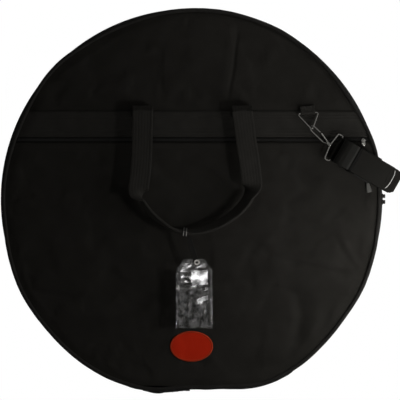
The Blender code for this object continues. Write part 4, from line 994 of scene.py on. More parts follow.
def piping(name, height, tilt, seam):
    """Cloth-covered cord round a seam, with the small puckers of its cover."""
    thetas = np.linspace(0, math.tau, 361)[:-1]
    turns = np.arange(12) * math.tau / 12
    radius = PIPING_R * (0.97 + 0.035 * waves(thetas * RIM_R, thetas * 0, 71, 0.02))
    r = seam(thetas)[:, None] + radius[:, None] * np.cos(turns)[None]
    z = height + tilt * waves(thetas * RIM_R, thetas * 0, 72, 0.12)
    z = z[:, None] + radius[:, None] * np.sin(turns)[None]
    rings = stacked(r * np.cos(thetas)[:, None], r * np.sin(thetas)[:, None], z)
    return tube_mesh(name, rings, CORD_COVER, stacked(thetas[:, None] * RIM_R, turns * PIPING_R), closed=True)


dress(piping("front_piping_cord", FACE_Z, 0.0003, seam_radius), "",
      ("front_piping_lower", "front_piping_upper"), True)
dress(piping("back_piping_cord", BACK_PIPING_Z, 0.0001, back_seam_radius), "bag", ("back_piping",))


# Belt and pocket zipper

BELT_RIBS_Y = (0.1355, 0.1315, 0.1268, 0.1095, 0.1047, 0.1000)
RIB_WIDTH, RIB_HEIGHT, BELT_EDGE_DROP = 0.0012, 0.00055, 0.0003


def belt_rise(x, y):
    """Raised rows of the belt's weave near both its edges."""
    rise = sum(RIB_HEIGHT * bell((y - row) / RIB_WIDTH) for row in BELT_RIBS_Y)
    return rise - sum(BELT_EDGE_DROP * bell((y - edge) / RIB_WIDTH) for edge in (BELT_LOW_Y, BELT_HIGH_Y))


def fine_rows(name, low_y, high_y, level, row_step, step, material, drop, rise=None):
    """As face_sheet, with rows close enough for narrow ribs, and a drop at both its edges."""
    ys = np.arange(low_y, high_y + row_step / 2, row_step)
    left, right = chord(ys)
    x, y = between(left, right, np.linspace(0, 1, int(np.max(right - left) / step) + 1), ys)
    grid = stacked(x, y, level + face_drop(x, y) + (rise(x, y) if rise else 0.0))
    grid = np.concatenate([grid[:1] - (0.0, 0.0001, drop), grid, grid[-1:] + (0.0, 0.0001, -drop)])
    return sheet_mesh(name, grid, grid[..., :2], material)


belt = fine_rows("belt_webbing", BELT_LOW_Y, BELT_HIGH_Y, CLOTH_TOP, 0.0008, 0.005, WEB, 0.0017, belt_rise)
dress(belt, "flap", ("front_belt",))
belt_heights = np.linspace(BELT_LOW_Y, BELT_HIGH_Y, 60)
belt_widths = np.subtract(*chord(belt_heights)[::-1])
for number, row in enumerate((BELT_LOW_Y + 0.0024, BELT_HIGH_Y - 0.0022)):
    belt_row = face_stitches(f"belt_stitches_{number + 1}", row, CLOTH_TOP + 0.0001, width=0.0007)
    dress(belt_row, "flap")

POCKET_TAPE_HALF = 0.0039
pocket_tape = fine_rows("pocket_tape", POCKET_ZIP_Y - POCKET_TAPE_HALF, POCKET_ZIP_Y + POCKET_TAPE_HALF,
                        0.0629, 0.0013, 0.006, TAPE, 0.0005)
dress(pocket_tape, "flap", ("pocket_zip_tape",))


def pocket_teeth():
    """The pocket's closed coil: interleaved loops with the sewing cord along their middle."""
    left, right = (float(v) for v in chord(POCKET_ZIP_Y, 0.003))
    parts = []
    for number, x in enumerate(np.arange(left, right, 0.00095)):
        side = 1 if number % 2 else -1
        (centre,), (up,) = on_face([x], [POCKET_ZIP_Y + side * 0.0007], TOP_LAYER + 0.0016)
        parts.append(seed(centre, np.array(ALONG_Y), np.array(ALONG_X), up, 0.0042, 0.0010, 0.0019))
    return merged("pocket_teeth", parts, COIL)


dress(pocket_teeth(), "flap", ("pocket_zip_coil",))


# Handle and tag

HANDLE_WEB = 0.032
HANDLE_X = (-0.0765, 0.0795)
HANDLE_TOP_Y, HANDLE_REACH = 0.1403, 0.1913
HANDLE_FLAT_Z, HANDLE_EDGE_DROP = 0.08805, 0.0040
HANDLE_LOW_POINT = 13
# The handle's centre line: shares of its half width and its reach, how far the webbing stands on its edge,
# and how far it leans there, in degrees
HANDLE_ROUTE = (
    (-1.0, 0.010, 0.0, 0), (-1.004, 0.099, 0.0, 0), (-1.010, 0.257, 0.0, 0), (-1.026, 0.415, 0.0, 0),
    (-1.052, 0.531, 0.0, 0), (-1.075, 0.610, 0.02, -4), (-1.082, 0.665, 0.10, -6),
    (-1.060, 0.705, 0.60, -10), (-1.018, 0.742, 0.96, -12), (-0.960, 0.785, 1.0, -12),
    (-0.820, 0.853, 1.0, -11), (-0.620, 0.921, 1.0, -8), (-0.404, 0.972, 1.0, 0), (-0.147, 1.0, 1.0, 8),
    (0.147, 0.992, 1.0, 14), (0.455, 0.950, 1.0, 19), (0.699, 0.895, 1.0, 22), (0.904, 0.831, 1.0, 24),
    (1.060, 0.760, 1.0, 26), (1.142, 0.700, 0.96, 27), (1.186, 0.655, 0.64, 22), (1.197, 0.608, 0.12, 8),
    (1.188, 0.560, 0.0, 0), (1.170, 0.500, 0.0, 0), (1.138, 0.400, 0.0, 0), (1.083, 0.257, 0.0, 0),
    (1.032, 0.099, 0.0, 0), (1.0, 0.010, 0.0, 0),
)
# Its ends bend down over the folds, in front of the line that it swings about
HANDLE_END = ((0.1412, 0.0858), (0.1402, 0.0872), (0.1388, 0.0879))
HANDLE_LEG_THICK, HANDLE_GRIP_THICK = 0.0017, 0.0044


def handle_line():
    """Centres, width directions and thicknesses of the handle's webbing, from left to right."""
    middle, half = sum(HANDLE_X) / 2, (HANDLE_X[1] - HANDLE_X[0]) / 2
    rough = [(middle + share * half, HANDLE_TOP_Y - reach * HANDLE_REACH,
              HANDLE_FLAT_Z - HANDLE_EDGE_DROP * edge, edge, lean)
             for share, reach, edge, lean in HANDLE_ROUTE]
    left = [(middle - half, y, z, 0.0, 0.0) for y, z in HANDLE_END]
    right = [(middle + half, y, z, 0.0, 0.0) for y, z in HANDLE_END[::-1]]
    line = spline(left + rough + right, 8)
    centres = line[:, :3]
    along = tangents(centres)
    flat = unit(np.cross((0.0, 0.0, 1.0), along))
    bent = len(HANDLE_END) * 8
    flat[:bent + 1] = flat[bent + 1]
    flat[-bent - 1:] = flat[-bent - 2]
    edge = np.clip(line[:, 3], 0, 1)
    twist = edge * (math.pi / 2 - np.radians(line[:, 4]))
    thick = HANDLE_LEG_THICK + (HANDLE_GRIP_THICK - HANDLE_LEG_THICK) * ease(edge)
    widths = flat * np.cos(twist)[:, None] - np.array([0, 0, 1.0]) * np.sin(twist)[:, None]
    return centres, widths, thick


handle_centres, handle_widths, handle_thick = handle_line()
HANDLE_LOW_AT = (HANDLE_LOW_POINT + len(HANDLE_END)) * 8
HANDLE_LOW = handle_centres[HANDLE_LOW_AT]
handle = ribbon("handle_webbing", handle_centres, handle_widths, HANDLE_WEB / 2, handle_thick, WEB, ribs=7,
                rib_height=0.00022, across=57)
dress(handle, "front_handle", ("front_handle",))


def webbing_stitches(name, centres, widths, offset, lift, body, start=0.0, end=1.0):
    """A row of stitches along a strap, on one of its faces."""
    along = tangents(centres)
    widths = unit(widths - along * np.sum(along * widths, 1, keepdims=True))
    normals = np.cross(along, widths)
    count = len(centres)
    some = slice(int(start * (count - 1)), int(end * (count - 1)) + 1)
    line = (centres + widths * offset)[some]
    lifted = line + (normals * np.reshape(lift, (-1, 1)))[some]
    dress(stitches(name, lifted, normals[some], THREAD), body)


for label, offset in (("inner", -HANDLE_WEB / 2 + 0.0032), ("outer", HANDLE_WEB / 2 - 0.0032)):
    webbing_stitches(f"handle_stitches_{label}", handle_centres, handle_widths, offset,
                     handle_thick / 2 + 0.0002, "front_handle")

# The folds behind the belt: round the roll, up the riser, and over the bend
FOLD_SIDE = ((0.1300, 0.0652), (0.1370, 0.0652), (0.1430, 0.06555), (0.1458, 0.0668), (0.1468, 0.0690),
             (0.1465, 0.0716), (0.1456, 0.0748), (0.1444, 0.0784), (0.1431, 0.0820), (0.1418, 0.0845),
             (0.1404, 0.0858))
for label, x in zip(("left", "right"), HANDLE_X):
    side = spline([(x, y, z) for y, z in FOLD_SIDE], 5)
    fold = ribbon(f"handle_fold_webbing_{label}", side, ALONG_X, HANDLE_WEB / 2, 0.0018, WEB, ribs=7,
                  rib_height=0.0005, across=57)
    dress(fold, "flap", (f"front_handle_fold_{label}",))


def racetrack(half_width, half_height, steps=8):
    outline, straight = [], half_height - half_width
    for side, start in ((1, 0.0), (-1, math.pi)):
        for a in math.pi * np.arange(steps + 1) / steps + start:
            outline.append((half_width * math.cos(a), side * straight + half_width * math.sin(a)))
    return outline


def band(name, place, outline, half_width, thickness, material):
    """A strap closed round something: the outline lies in its frame's Y and Z, and its width along X."""
    loop = spline([(0.0, y, z) for y, z in outline], 3, closed=True)
    loop = placed(np.concatenate([loop, loop[:1]]), place)
    width = np.array(place.to_3x3())[:, 0]
    return ribbon(name, loop, width, half_width, thickness, material, 3, 0.0002, 13, caps=False)


grip_run = handle_centres[HANDLE_LOW_AT + 8] - handle_centres[HANDLE_LOW_AT - 8]
TAG_LOOP_PLACE = (Matrix.Translation(Vector(HANDLE_LOW))
                  @ Matrix.Rotation(math.atan2(grip_run[1], grip_run[0]), 4, "Z")
                  @ Matrix.Rotation(math.radians(10), 4, "X"))
LOOP_OUTLINE = racetrack(HANDLE_GRIP_THICK / 2 + 0.0010, HANDLE_WEB / 2 + 0.00145)
tag_band = band("tag_loop_strap", TAG_LOOP_PLACE, LOOP_OUTLINE, 0.0030, 0.0009, STRAP_VINYL)
dress(tag_band, "front_handle", ("tag_loop",))
# Thin light grey wires along both borders of the tag's loop: painted highlights on its edges
for number, side in enumerate((-1, 1)):
    border = np.array([(side * 0.0022, y, z) for y, z in LOOP_OUTLINE]) * (1.0, 1.03, 1.03)
    border = placed(spline(border, 3, closed=True), TAG_LOOP_PLACE)
    border = wire(f"tag_loop_painted_highlight_{number + 1}", border, 0.00055, PAINTED_HIGHLIGHT_GREY, closed=True, sides=8)
    dress(border, "front_handle")

TAG_STRAP_LOW, TAG_STRAP_HIGH = (v.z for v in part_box("tag_strap"))
TAG_TO = np.array([HANDLE_LOW[0] + 0.0203, HANDLE_LOW[1] - 0.0530])
TAG_JOINT = np.array(JOINTS["tag_swing"]["pos_m"][:2])
# The tag's strap starts clear of its loop, and widens over its first millimetres
TAG_CLEAR, TAG_TAPER = 0.0020, 0.004
TAG_FROM = TAG_JOINT + unit(TAG_TO - TAG_JOINT) * TAG_CLEAR
TAG_STRAP_WIDTH = 0.008
TAG_STRAP_RISE = ((0.0, 0.0002), (0.12, 0.0010), (0.3, 0.0013), (0.55, 0.0010), (0.8, 0.0003), (1.0, 0.0))
tag_run = TAG_TO - TAG_FROM
tag_line = spline([(*(TAG_FROM + tag_run * s), (TAG_STRAP_LOW + TAG_STRAP_HIGH) / 2 + rise)
                   for s, rise in TAG_STRAP_RISE], 6)
tag_across = unit(np.array([-tag_run[1], tag_run[0], 0.0]))
tag_widths = np.array([tag_across * math.cos(a) + np.array([0, 0, math.sin(a)])
                       for a in np.linspace(0.0, 0.12, len(tag_line))])
tag_half = TAG_STRAP_WIDTH / 2 * (0.5 + 0.5 * np.sqrt(np.clip(lengths(tag_line) / TAG_TAPER, 0, 1)))
tag_strap = ribbon("tag_strap_webbing", tag_line, tag_widths, tag_half, 0.0010, STRAP_VINYL, across=21)
dress(tag_strap, "tag", ("tag_strap",))
for number, offset in enumerate((-0.0030, 0.0030)):
    webbing_stitches(f"tag_strap_stitches_{number + 1}", tag_line, tag_widths, offset, 0.0006, "tag",
                     start=0.45, end=0.95)

POUCH_LOW, POUCH_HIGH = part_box("tag_pouch")
CHAMFER_X, CHAMFER_Y = 0.0125, 0.0180
POUCH_BORDER = 0.0032


def chamfer(y):
    """How much the cut corners narrow the pouch on each side at a height."""
    return np.clip((y - (POUCH_HIGH.y - CHAMFER_Y)) / CHAMFER_Y, 0, 1) * CHAMFER_X


def pouch_rows():
    """Heights on the pouch with the left and right ends of its outline at each."""
    ys = np.concatenate([np.linspace(POUCH_LOW.y, POUCH_HIGH.y - CHAMFER_Y, 116),
                         np.linspace(POUCH_HIGH.y - CHAMFER_Y, POUCH_HIGH.y, 24)[1:]])
    return ys, POUCH_LOW.x + chamfer(ys), POUCH_HIGH.x - chamfer(ys)


# Where the film lies flat and mirrors the lamp overhead: pixels of the photograph, half sizes in pixels, and
# turns in degrees
GLARE_PIECES = (
    (201.3, 277.0, 10.8, 7.8, 0), (203.0, 298.6, 7.0, 2.6, 22), (206.3, 288.3, 1.9, 1.9, 0),
    (186.0, 268.2, 6.0, 1.1, 28), (189.8, 265.2, 5.0, 0.8, 32), (184.5, 276.5, 4.5, 1.5, 10),
    (187.0, 281.0, 2.6, 1.4, -20), (205.2, 308.0, 0.8, 5.0, -12), (197.2, 261.5, 1.6, 2.6, 0),
    (211.0, 287.5, 0.8, 3.6, 0), (193.5, 285.8, 3.5, 1.2, 0), (193.0, 327.0, 6.0, 0.7, 0),
)
GLARE_RAGGED, GLARE_EDGE = 0.0011, 0.0009
POUCH_DOME = 0.0011


def glare_pieces(x, y):
    """1 where the film is flat, 0 elsewhere, with ragged borders between them."""
    ragged = waves(x, y, 83, 0.010) * GLARE_RAGGED
    flat = np.zeros_like(x)
    for px, py, half_x, half_y, turn in GLARE_PIECES:
        cx, cy = from_photo(px, py)
        c, s = math.cos(math.radians(turn)), math.sin(math.radians(turn))
        u, v = (x - cx) * c + (y - cy) * s, (y - cy) * c - (x - cx) * s
        away = np.maximum(np.abs(u) - half_x * PIXEL, np.abs(v) - half_y * PIXEL)
        flat = np.maximum(flat, 1 - ease((away - ragged * min(half_y / 3, 1.0)) / GLARE_EDGE))
    return flat


def pouch_skin(x, y, sign):
    """Height of the pouch's upper or lower film: welded at its border, which slopes, and crinkled inside."""
    sides = np.minimum(x - POUCH_LOW.x, POUCH_HIGH.x - x) - chamfer(y)
    border = np.minimum(sides, np.minimum(y - POUCH_LOW.y, POUCH_HIGH.y - y))
    inside = ease((border - POUCH_BORDER) / 0.0035)
    middle = (POUCH_LOW.z + POUCH_HIGH.z) / 2
    slope = np.clip(border / POUCH_BORDER, 0, 1) * 0.0006
    z = middle + sign * (0.0002 + slope + 0.0003 * inside)
    if sign < 0:
        return z + inside * waves(x, y, 84, 0.03) * 0.0002
    across = (x - (POUCH_LOW.x + POUCH_HIGH.x) / 2) / ((POUCH_HIGH.x - POUCH_LOW.x) / 2)
    creases = 1 - np.abs(waves(x, y, 85, 0.016))
    loose = (waves(x, y, 81, 0.014) * 0.00042 + waves(x, y, 82, 0.005) * 0.00012 + creases * 0.00030
             - POUCH_DOME * across ** 2)
    return z + (0.25 + 0.75 * inside) * loose * (1 - glare_pieces(x, y))


def pouch():
    ys, left, right = pouch_rows()
    share = np.linspace(0, 1, 72)
    upper, lower = between(left, right, share, ys), between(left, right, share[::-1], ys)
    skins = [stacked(x, y, pouch_skin(x, y, sign)) for (x, y), sign in ((upper, 1), (lower, -1))]
    return tube_mesh("tag_pouch_film", np.concatenate(skins, 1), VINYL)


dress(pouch(), "tag", ("tag_pouch",))


def card():
    low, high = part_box("tag_card")
    more = 0.0002
    x, y = np.meshgrid(np.linspace(low.x - more, high.x + more, 26), np.linspace(low.y - more, high.y, 40))
    z = (low.z + high.z) / 2 + waves(x, y, 91, 0.05) * 0.00012
    rings = np.concatenate([stacked(x, y, z + 0.00022), stacked(x, y, z - 0.00022)[:, ::-1]], 1)
    return tube_mesh("tag_card_sheet", rings, CARD)


dress(card(), "tag", ("tag_card",))


def pouch_weld():
    """The pressed ridge of the weld round the pouch."""
    inset = POUCH_BORDER * 0.55
    l, r, b, t = POUCH_LOW.x + inset, POUCH_HIGH.x - inset, POUCH_LOW.y + inset, POUCH_HIGH.y - inset
    corners = [(l, b), (r, b), (r, t - CHAMFER_Y), (r - CHAMFER_X, t), (l + CHAMFER_X, t), (l, t - CHAMFER_Y)]
    line = []
    for (ax, ay), (bx, by) in zip(corners, corners[1:] + corners[:1]):
        count = max(int(math.hypot(bx - ax, by - ay) / 0.002), 3)
        for i in range(count):
            line.append((ax + (bx - ax) * i / count, ay + (by - ay) * i / count))
    line = np.array(line)
    z = pouch_skin(line[:, 0], line[:, 1], 1) + 0.00005
    return wire("tag_weld", np.concatenate([line, z[:, None]], 1), 0.0003, VINYL, closed=True, sides=8)


dress(pouch_weld(), "tag")


# Patch

BADGE_LOW, BADGE_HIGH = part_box("badge_patch")
BADGE_CENTRE = ((BADGE_LOW.x + BADGE_HIGH.x) / 2, (BADGE_LOW.y + BADGE_HIGH.y) / 2)
BADGE_HALF = ((BADGE_HIGH.x - BADGE_LOW.x) / 2, (BADGE_HIGH.y - BADGE_LOW.y) / 2)


def badge():
    """The patch's bare field, a thick embroidered oval."""
    thetas = np.arange(96) * math.tau / 96
    shares = (0.0, 0.2, 0.4, 0.6, 0.8, 0.93, 1.0)
    rings = []
    for lift, order in ((0.0017, shares), (0.0002, shares[::-1])):
        for s in order:
            x = BADGE_CENTRE[0] + BADGE_HALF[0] * 0.97 * max(s, 0.001) * np.cos(thetas)
            y = BADGE_CENTRE[1] + BADGE_HALF[1] * 0.96 * max(s, 0.001) * np.sin(thetas)
            rings.append(stacked(x, y, CLOTH_TOP + face_drop(x, y) + lift))
    return tube_mesh("patch_field", rings, RED)


def badge_edge():
    """The merrowed edge: a rounded rope of close slanted stitches round the patch."""
    count, sides = 420, 12
    thetas = np.arange(count) * math.tau / count
    turns = np.arange(sides) * math.tau / sides
    x = BADGE_CENTRE[0] + (BADGE_HALF[0] - 0.0012) * np.cos(thetas)
    y = BADGE_CENTRE[1] + (BADGE_HALF[1] - 0.0012) * np.sin(thetas)
    z = CLOTH_TOP + face_drop(x, y) + 0.0010
    out = unit(stacked(np.cos(thetas) / BADGE_HALF[0], np.sin(thetas) / BADGE_HALF[1], 0.0))
    stitch = 1 + 0.13 * np.sin(thetas[:, None] * 140 + turns[None])
    grow_out, grow_up = np.cos(turns) * 0.00155 * stitch, np.sin(turns) * 0.00105 * stitch
    rings = (stacked(x, y, z)[:, None] + out[:, None] * grow_out[..., None]
             + np.array([0, 0, 1.0]) * grow_up[..., None])
    uvs = stacked(thetas[:, None] * 0.029, turns * 0.0014)
    return tube_mesh("patch_edge", rings, RED_EDGE, uvs, closed=True)


dress(badge(), "bag", ("badge_patch",))
dress(badge_edge(), "bag")


# Strap bundle and ring loops

BUNDLE = (Matrix.Translation((RIM_R - 0.0236, 0.0512, 0.0679)) @ Matrix.Rotation(math.radians(-30), 4, "Z")
          @ Matrix.Rotation(math.radians(5), 4, "Y"))
BUNDLE_TURN = np.array(BUNDLE.to_3x3())
BUNDLE_HALF, BUNDLE_WIDTH = 0.052, 0.040
LAYER, LAYER_PITCH, LAYERS = 0.0013, 0.0017, 12
ROOM_AFTER = {4: 0.0030, 7: 0.0036}
EYE_BAR = (-0.0573, 0.0036)


def in_bundle(points):
    return placed(np.asarray(points, float), BUNDLE)


HEIGHTS = [LAYER / 2]
for layer in range(LAYERS - 1):
    HEIGHTS.append(HEIGHTS[-1] + LAYER_PITCH + ROOM_AFTER.get(layer, 0.0))
STACK_TOP = HEIGHTS[-1] + LAYER / 2
WRAP_RADIUS = STACK_TOP / 2 + 0.0009
WRAP_CENTRE_X = -BUNDLE_HALF + WRAP_RADIUS + 0.0006


def left_end(height):
    """How far left a layer may reach under the rounded wrap."""
    drop = height - STACK_TOP / 2
    return WRAP_CENTRE_X - math.sqrt(max((WRAP_RADIUS - 0.0022) ** 2 - drop ** 2, 0.0))


def folded_strap():
    """The zigzag of the folded webbing, from its bottom layer to its top one."""
    points = []
    for layer, height in enumerate(HEIGHTS):
        out = 1 if layer % 2 == 0 else -1
        bend = (HEIGHTS[layer + 1] - height) / 2 if layer < LAYERS - 1 else 0.0
        bend_in = (height - HEIGHTS[layer - 1]) / 2 if layer else 0.0
        ends = {}
        for side in (1, -1):
            tight = bend if side == out else bend_in
            reach = BUNDLE_HALF - LAYER / 2 - 0.0012 * (layer % 3) if side > 0 else -left_end(height)
            ends[side] = side * (reach - tight)
        start, end = ends[-out], ends[out]
        for s in (0.0, 0.33, 0.66, 1.0):
            points.append((start + (end - start) * s, 0.0, height))
        for i in (1, 2, 3):
            if bend:
                a = math.pi * i / 4
                points.append((end + out * bend * math.sin(a), 0.0, height + bend * (1 - math.cos(a))))
    return spline(points, 3)


def bundle_ribbon(name, line, side, half_width, thickness, material, slot, replaced=(), **ribs):
    """A strap along a line in the bundle, with its width toward one of the bundle's sides."""
    width = side * BUNDLE_TURN[:, 1]
    piece = ribbon(name, in_bundle(line), width, half_width, thickness, material, **ribs)
    dress(piece, "strap", replaced)


def arc(centre_x, centre_z, radius, turn, steps):
    """Points on a circle that starts below its centre and goes to the left and up."""
    angles = -math.pi / 2 - turn * np.arange(1, steps + 1) / steps
    return [(centre_x + radius * math.cos(a), 0.0, centre_z + radius * math.sin(a)) for a in angles]


strap_line = folded_strap()
near_end = ease((strap_line[:, 0] - (BUNDLE_HALF - 0.0065)) / 0.0060)
bundle_ribbon("strap_folds", strap_line, 1, BUNDLE_WIDTH / 2 - 0.0004 - 0.0050 * near_end ** 1.5, LAYER * 0.9,
              BUNDLE_WEB, "webbing", ("shoulder_strap",), ribs=7, rib_height=0.00015, across=29)

# The last turn of the strap wraps the folded stack, round its left end and along its top
WRAP_TOP = STACK_TOP + 0.0009
WRAP_ALONG = ((WRAP_CENTRE_X, 0.0), (-0.020, 0.0006), (0.0, 0.0009), (0.020, 0.0007), (0.034, 0.0002),
              (0.0405, 0.0001))
wrap_line = [(0.030, 0.0, -0.0006), (0.0, 0.0, -0.0008), (WRAP_CENTRE_X, 0.0, -0.0008)]
wrap_line += arc(WRAP_CENTRE_X, STACK_TOP / 2, WRAP_RADIUS, math.pi, 12)[:-1]
wrap_line = spline(wrap_line + [(x, 0.0, WRAP_TOP + rise) for x, rise in WRAP_ALONG], 5)
wrap_end = ease((wrap_line[:, 0] - 0.0340) / 0.0065) * (wrap_line[:, 2] > STACK_TOP / 2)
bundle_ribbon("strap_wrap", wrap_line, -1, BUNDLE_WIDTH / 2 - 0.0035 * wrap_end ** 1.5, 0.0015, BUNDLE_WEB,
              "webbing", ribs=13, rib_height=0.0001, across=61)

# A smooth keeper holds the wrapped end together, outside it
KEEPER_FROM, KEEPER_OUT = -0.0255, 0.0011
keeper_line = wrap_line[wrap_line[:, 0] < KEEPER_FROM]
out_x = -np.clip((WRAP_CENTRE_X - keeper_line[:, 0]) / WRAP_RADIUS, 0, 1)
out_z = np.clip((keeper_line[:, 2] - STACK_TOP / 2) / WRAP_RADIUS, -1, 1)
keeper_line = keeper_line + KEEPER_OUT * stacked(out_x, 0.0, out_z)
bundle_ribbon("strap_keeper", keeper_line, -1, BUNDLE_WIDTH / 2 + 0.0004, 0.0012, KEEPER, "elastic",
              across=41)

# The wrap's cut edge, a thin light grey rope that is a painted highlight, and the stitches across it
CUT_X, CUT_BOW, CUT_HALF = 0.0362, 0.0042, 0.0165
cut_line = [(CUT_X + CUT_BOW * (1 - (y / CUT_HALF) ** 2) ** 0.5, y, wrap_line[-1][2] + 0.0006)
            for y in np.linspace(-0.0160, 0.0160, 25)]
dress(wire("strap_cut_edge_painted_highlight", in_bundle(cut_line), 0.00075, PAINTED_HIGHLIGHT_GREY, sides=8), "strap")
round_top = STACK_TOP / 2 + math.sqrt((WRAP_RADIUS + 0.0026) ** 2 - (-0.0455 - WRAP_CENTRE_X) ** 2)
for number, (x, z) in enumerate(((-0.0455, round_top), (0.0330, WRAP_TOP + 0.0011))):
    line = in_bundle(stacked(x, np.linspace(-BUNDLE_WIDTH / 2 + 0.003, BUNDLE_WIDTH / 2 - 0.003, 24), z))
    row = stitches(f"strap_cross_stitches_{number + 1}", line, BUNDLE_TURN[:, 2], THREAD, width=0.0008)
    dress(row, "strap")

# The strap's sewn end goes round the bar of the swivel eye
EYE_X, EYE_Z = EYE_BAR
EYE_RADIUS = 0.0027
eye_line = [(-0.038, 0.0, 0.0002), (-0.050, 0.0, 0.0003), (EYE_X + 0.001, 0.0, EYE_Z - EYE_RADIUS)]
eye_line = spline(eye_line + arc(EYE_X, EYE_Z, EYE_RADIUS, math.tau * 0.80, 8), 4)
bundle_ribbon("strap_eye_end", eye_line, 1, BUNDLE_WIDTH / 2 - 0.0004, 0.0014, BUNDLE_WEB, "webbing", ribs=9,
              rib_height=0.0002, across=41)

# Elastic tie round the bundle, coloured darker than the strap's webbing: partly its own colour, partly
# painted shade for the shadow line along the keeper's edge
TIE_HALF_Y, TIE_HALF_Z, TIE_CORNER = BUNDLE_WIDTH / 2 + 0.0015, STACK_TOP / 2 + 0.0026, 0.0030
tie_line = [(y, STACK_TOP / 2 + z) for y, z in round_corners(TIE_HALF_Y, TIE_HALF_Z, TIE_CORNER, 5)]
DARK_ELASTIC_SHADE = ribbed("elastic_painted_shade", (0.0020, 0.0019, 0.0017), (0.0042, 0.0040, 0.0036), pitch=0.0008)
TIE_PLACE = BUNDLE @ Matrix.Translation((-0.0240, 0.0, 0.0))
tie = band("strap_tie_elastic", TIE_PLACE, tie_line, 0.0024, 0.0011, DARK_ELASTIC_SHADE)
dress(tie, "strap", ("strap_tie",))


# The ring loop's course from the side: heights from the ring's bar
RING_LOOP_SIDE = ((0.0108, -0.0021), (0.0080, -0.0021), (0.0040, -0.0022), (0.0, -0.0022), (-0.0020, -0.0012),
                  (-0.0026, 0.0), (-0.0018, 0.0018), (0.0, 0.0024), (0.0022, 0.0014), (0.0045, 0.0005),
                  (0.0078, -0.0004), (0.0107, -0.0006))


def ring_loop(name, place, body, node):
    """Webbing folded round the ring's bar and sewn down beyond it."""
    line = placed(spline([(0.0, y, z) for y, z in RING_LOOP_SIDE], 4), place)
    width = np.array(place.to_3x3())[:, 0]
    loop = ribbon(name, line, width, 0.0115, 0.0013, WEB, ribs=5, rib_height=0.0003, across=37)
    dress(loop, body, (node,))


RING_BAR = Vector(JOINTS["front_ring_swing"]["pos_m"])
RING_PLACE = Matrix.Translation(RING_BAR) @ Matrix.Rotation(math.radians(4.3), 4, "Z")
ring_loop("ring_loop_webbing", RING_PLACE, "flap", "front_ring_loop")
BACK_BAR = Vector(JOINTS["back_ring_swing"]["pos_m"])
BACK_RING_PLACE = Matrix.Translation(BACK_BAR) @ Matrix.Rotation(math.pi, 4, "Y")
ring_loop("back_ring_loop_webbing", BACK_RING_PLACE, "bag", "back_ring_loop")


# Back side

BACK_HANDLE_ROUTE = ((-0.078, 0.143), (-0.078, 0.05), (-0.0785, -0.006), (-0.055, -0.0305), (0.0, -0.031),
                     (0.055, -0.0305), (0.0785, -0.006), (0.078, 0.05), (0.078, 0.143))
back_line = spline([(x, y, 0.0011) for x, y in BACK_HANDLE_ROUTE], 10)
back_widths = np.cross(tangents(back_line), (0.0, 0.0, 1.0))
back_handle = ribbon("back_handle_webbing", back_line, back_widths, HANDLE_WEB / 2, 0.0012, WEB, ribs=7,
                     rib_height=0.0004, across=57)
dress(back_handle, "back_handle", ("back_handle",))


def back_belt():
    """The belt of the back side, with the gap that its ring lies in."""
    ys = np.arange(BACK_BELT_Y[0], BACK_BELT_Y[1] + 0.0004, 0.0008)
    left, right = chord(ys, 0.001, True)
    ring_low, ring_high = BACK_RING_AT
    x, y = between(left, right, np.linspace(0, 1, 160), ys)
    hole = (x > ring_low.x - 0.002) & (x < ring_high.x + 0.002) & (y > ring_low.y - 0.002)
    ribs = sum(bell((y - row - 0.0025) / RIB_WIDTH) for row in BELT_RIBS_Y)
    grid = stacked(x, y, 0.0026 - 0.0004 * ribs)
    faces = [f for f in grid_faces(*x.shape, flip=True) if not hole.ravel()[list(f)].any()]
    belt = mesh_object("back_belt_webbing", grid.reshape(-1, 3), faces, grid[..., :2].reshape(-1, 2), WEB)
    thick = belt.modifiers.new("thickness", "SOLIDIFY")
    thick.thickness, thick.offset = 0.0014, -1.0
    return belt


dress(back_belt(), "bag", ("back_belt",))


# Sliders and pulls

def rounded_block(name, place, size, material, taper, bevel):
    """A bevelled plate in its own frame; taper narrows its -Y end in X and Z."""
    half = [s / 2 for s in size]
    rings = []
    inner = half[1] - bevel
    ys = np.concatenate([np.linspace(-half[1], -inner, 4), np.linspace(-inner, inner, 7)[1:-1],
                         np.linspace(inner, half[1], 4)])
    for y in ys:
        near = max(abs(y) - inner, 0.0) / bevel
        shrink = bevel * (1 - math.sqrt(max(1 - near ** 2, 0.0)))
        t = (y + half[1]) / size[1]
        half_x = half[0] * (taper[0] + (1 - taper[0]) * t) - shrink
        half_z = half[2] * (taper[1] + (1 - taper[1]) * t) - shrink
        corner = min(bevel, half_x * 0.9, half_z * 0.9)
        rings.append([(x, y, z) for x, z in round_corners(half_x, half_z, corner, 7)])
    rings = np.array(rings)
    return tube_mesh(name, placed(rings, place), material, rings[..., :2])


SLIDER_CENTRE = np.array((*from_photo(363.0, 142.6), sum(v.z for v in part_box("pocket_slider")) / 2))
SLIDER_HALF = (0.0041, 0.0066)


def slider_body():
    """The slider's top plate: two round lobes with a waist between them."""
    turns = np.arange(72) * math.tau / 72
    waist = 1 - 0.34 * bell(np.sin(turns) / 0.30)
    outline = stacked(np.cos(turns) * SLIDER_HALF[0] * waist, np.sin(turns) * SLIDER_HALF[1])
    layers = [np.insert(outline * (1 - inset / SLIDER_HALF[0]), 2, z, axis=1)
              for inset, z in ((0.0011, -0.00105), (0.0003, -0.0010), (0.0, -0.0004), (0.0, 0.0003),
                               (0.0005, 0.0008), (0.0014, 0.00105))]
    return tube_mesh("pocket_slider_plate", np.array(layers) + SLIDER_CENTRE, NICKEL)


dress(slider_body(), "pocket_slider", ("pocket_slider",))
BRIDGE_SIDE = ((-0.0046, 0.0006), (-0.0038, 0.0019), (-0.0016, 0.0027), (0.0016, 0.0027), (0.0038, 0.0019),
               (0.0046, 0.0006))
bridge_line = spline([(0.0, y, z) + SLIDER_CENTRE for y, z in BRIDGE_SIDE], 5)
bridge = wire("pocket_slider_bridge", bridge_line, 0.0007, NICKEL)
dress(bridge, "pocket_slider")

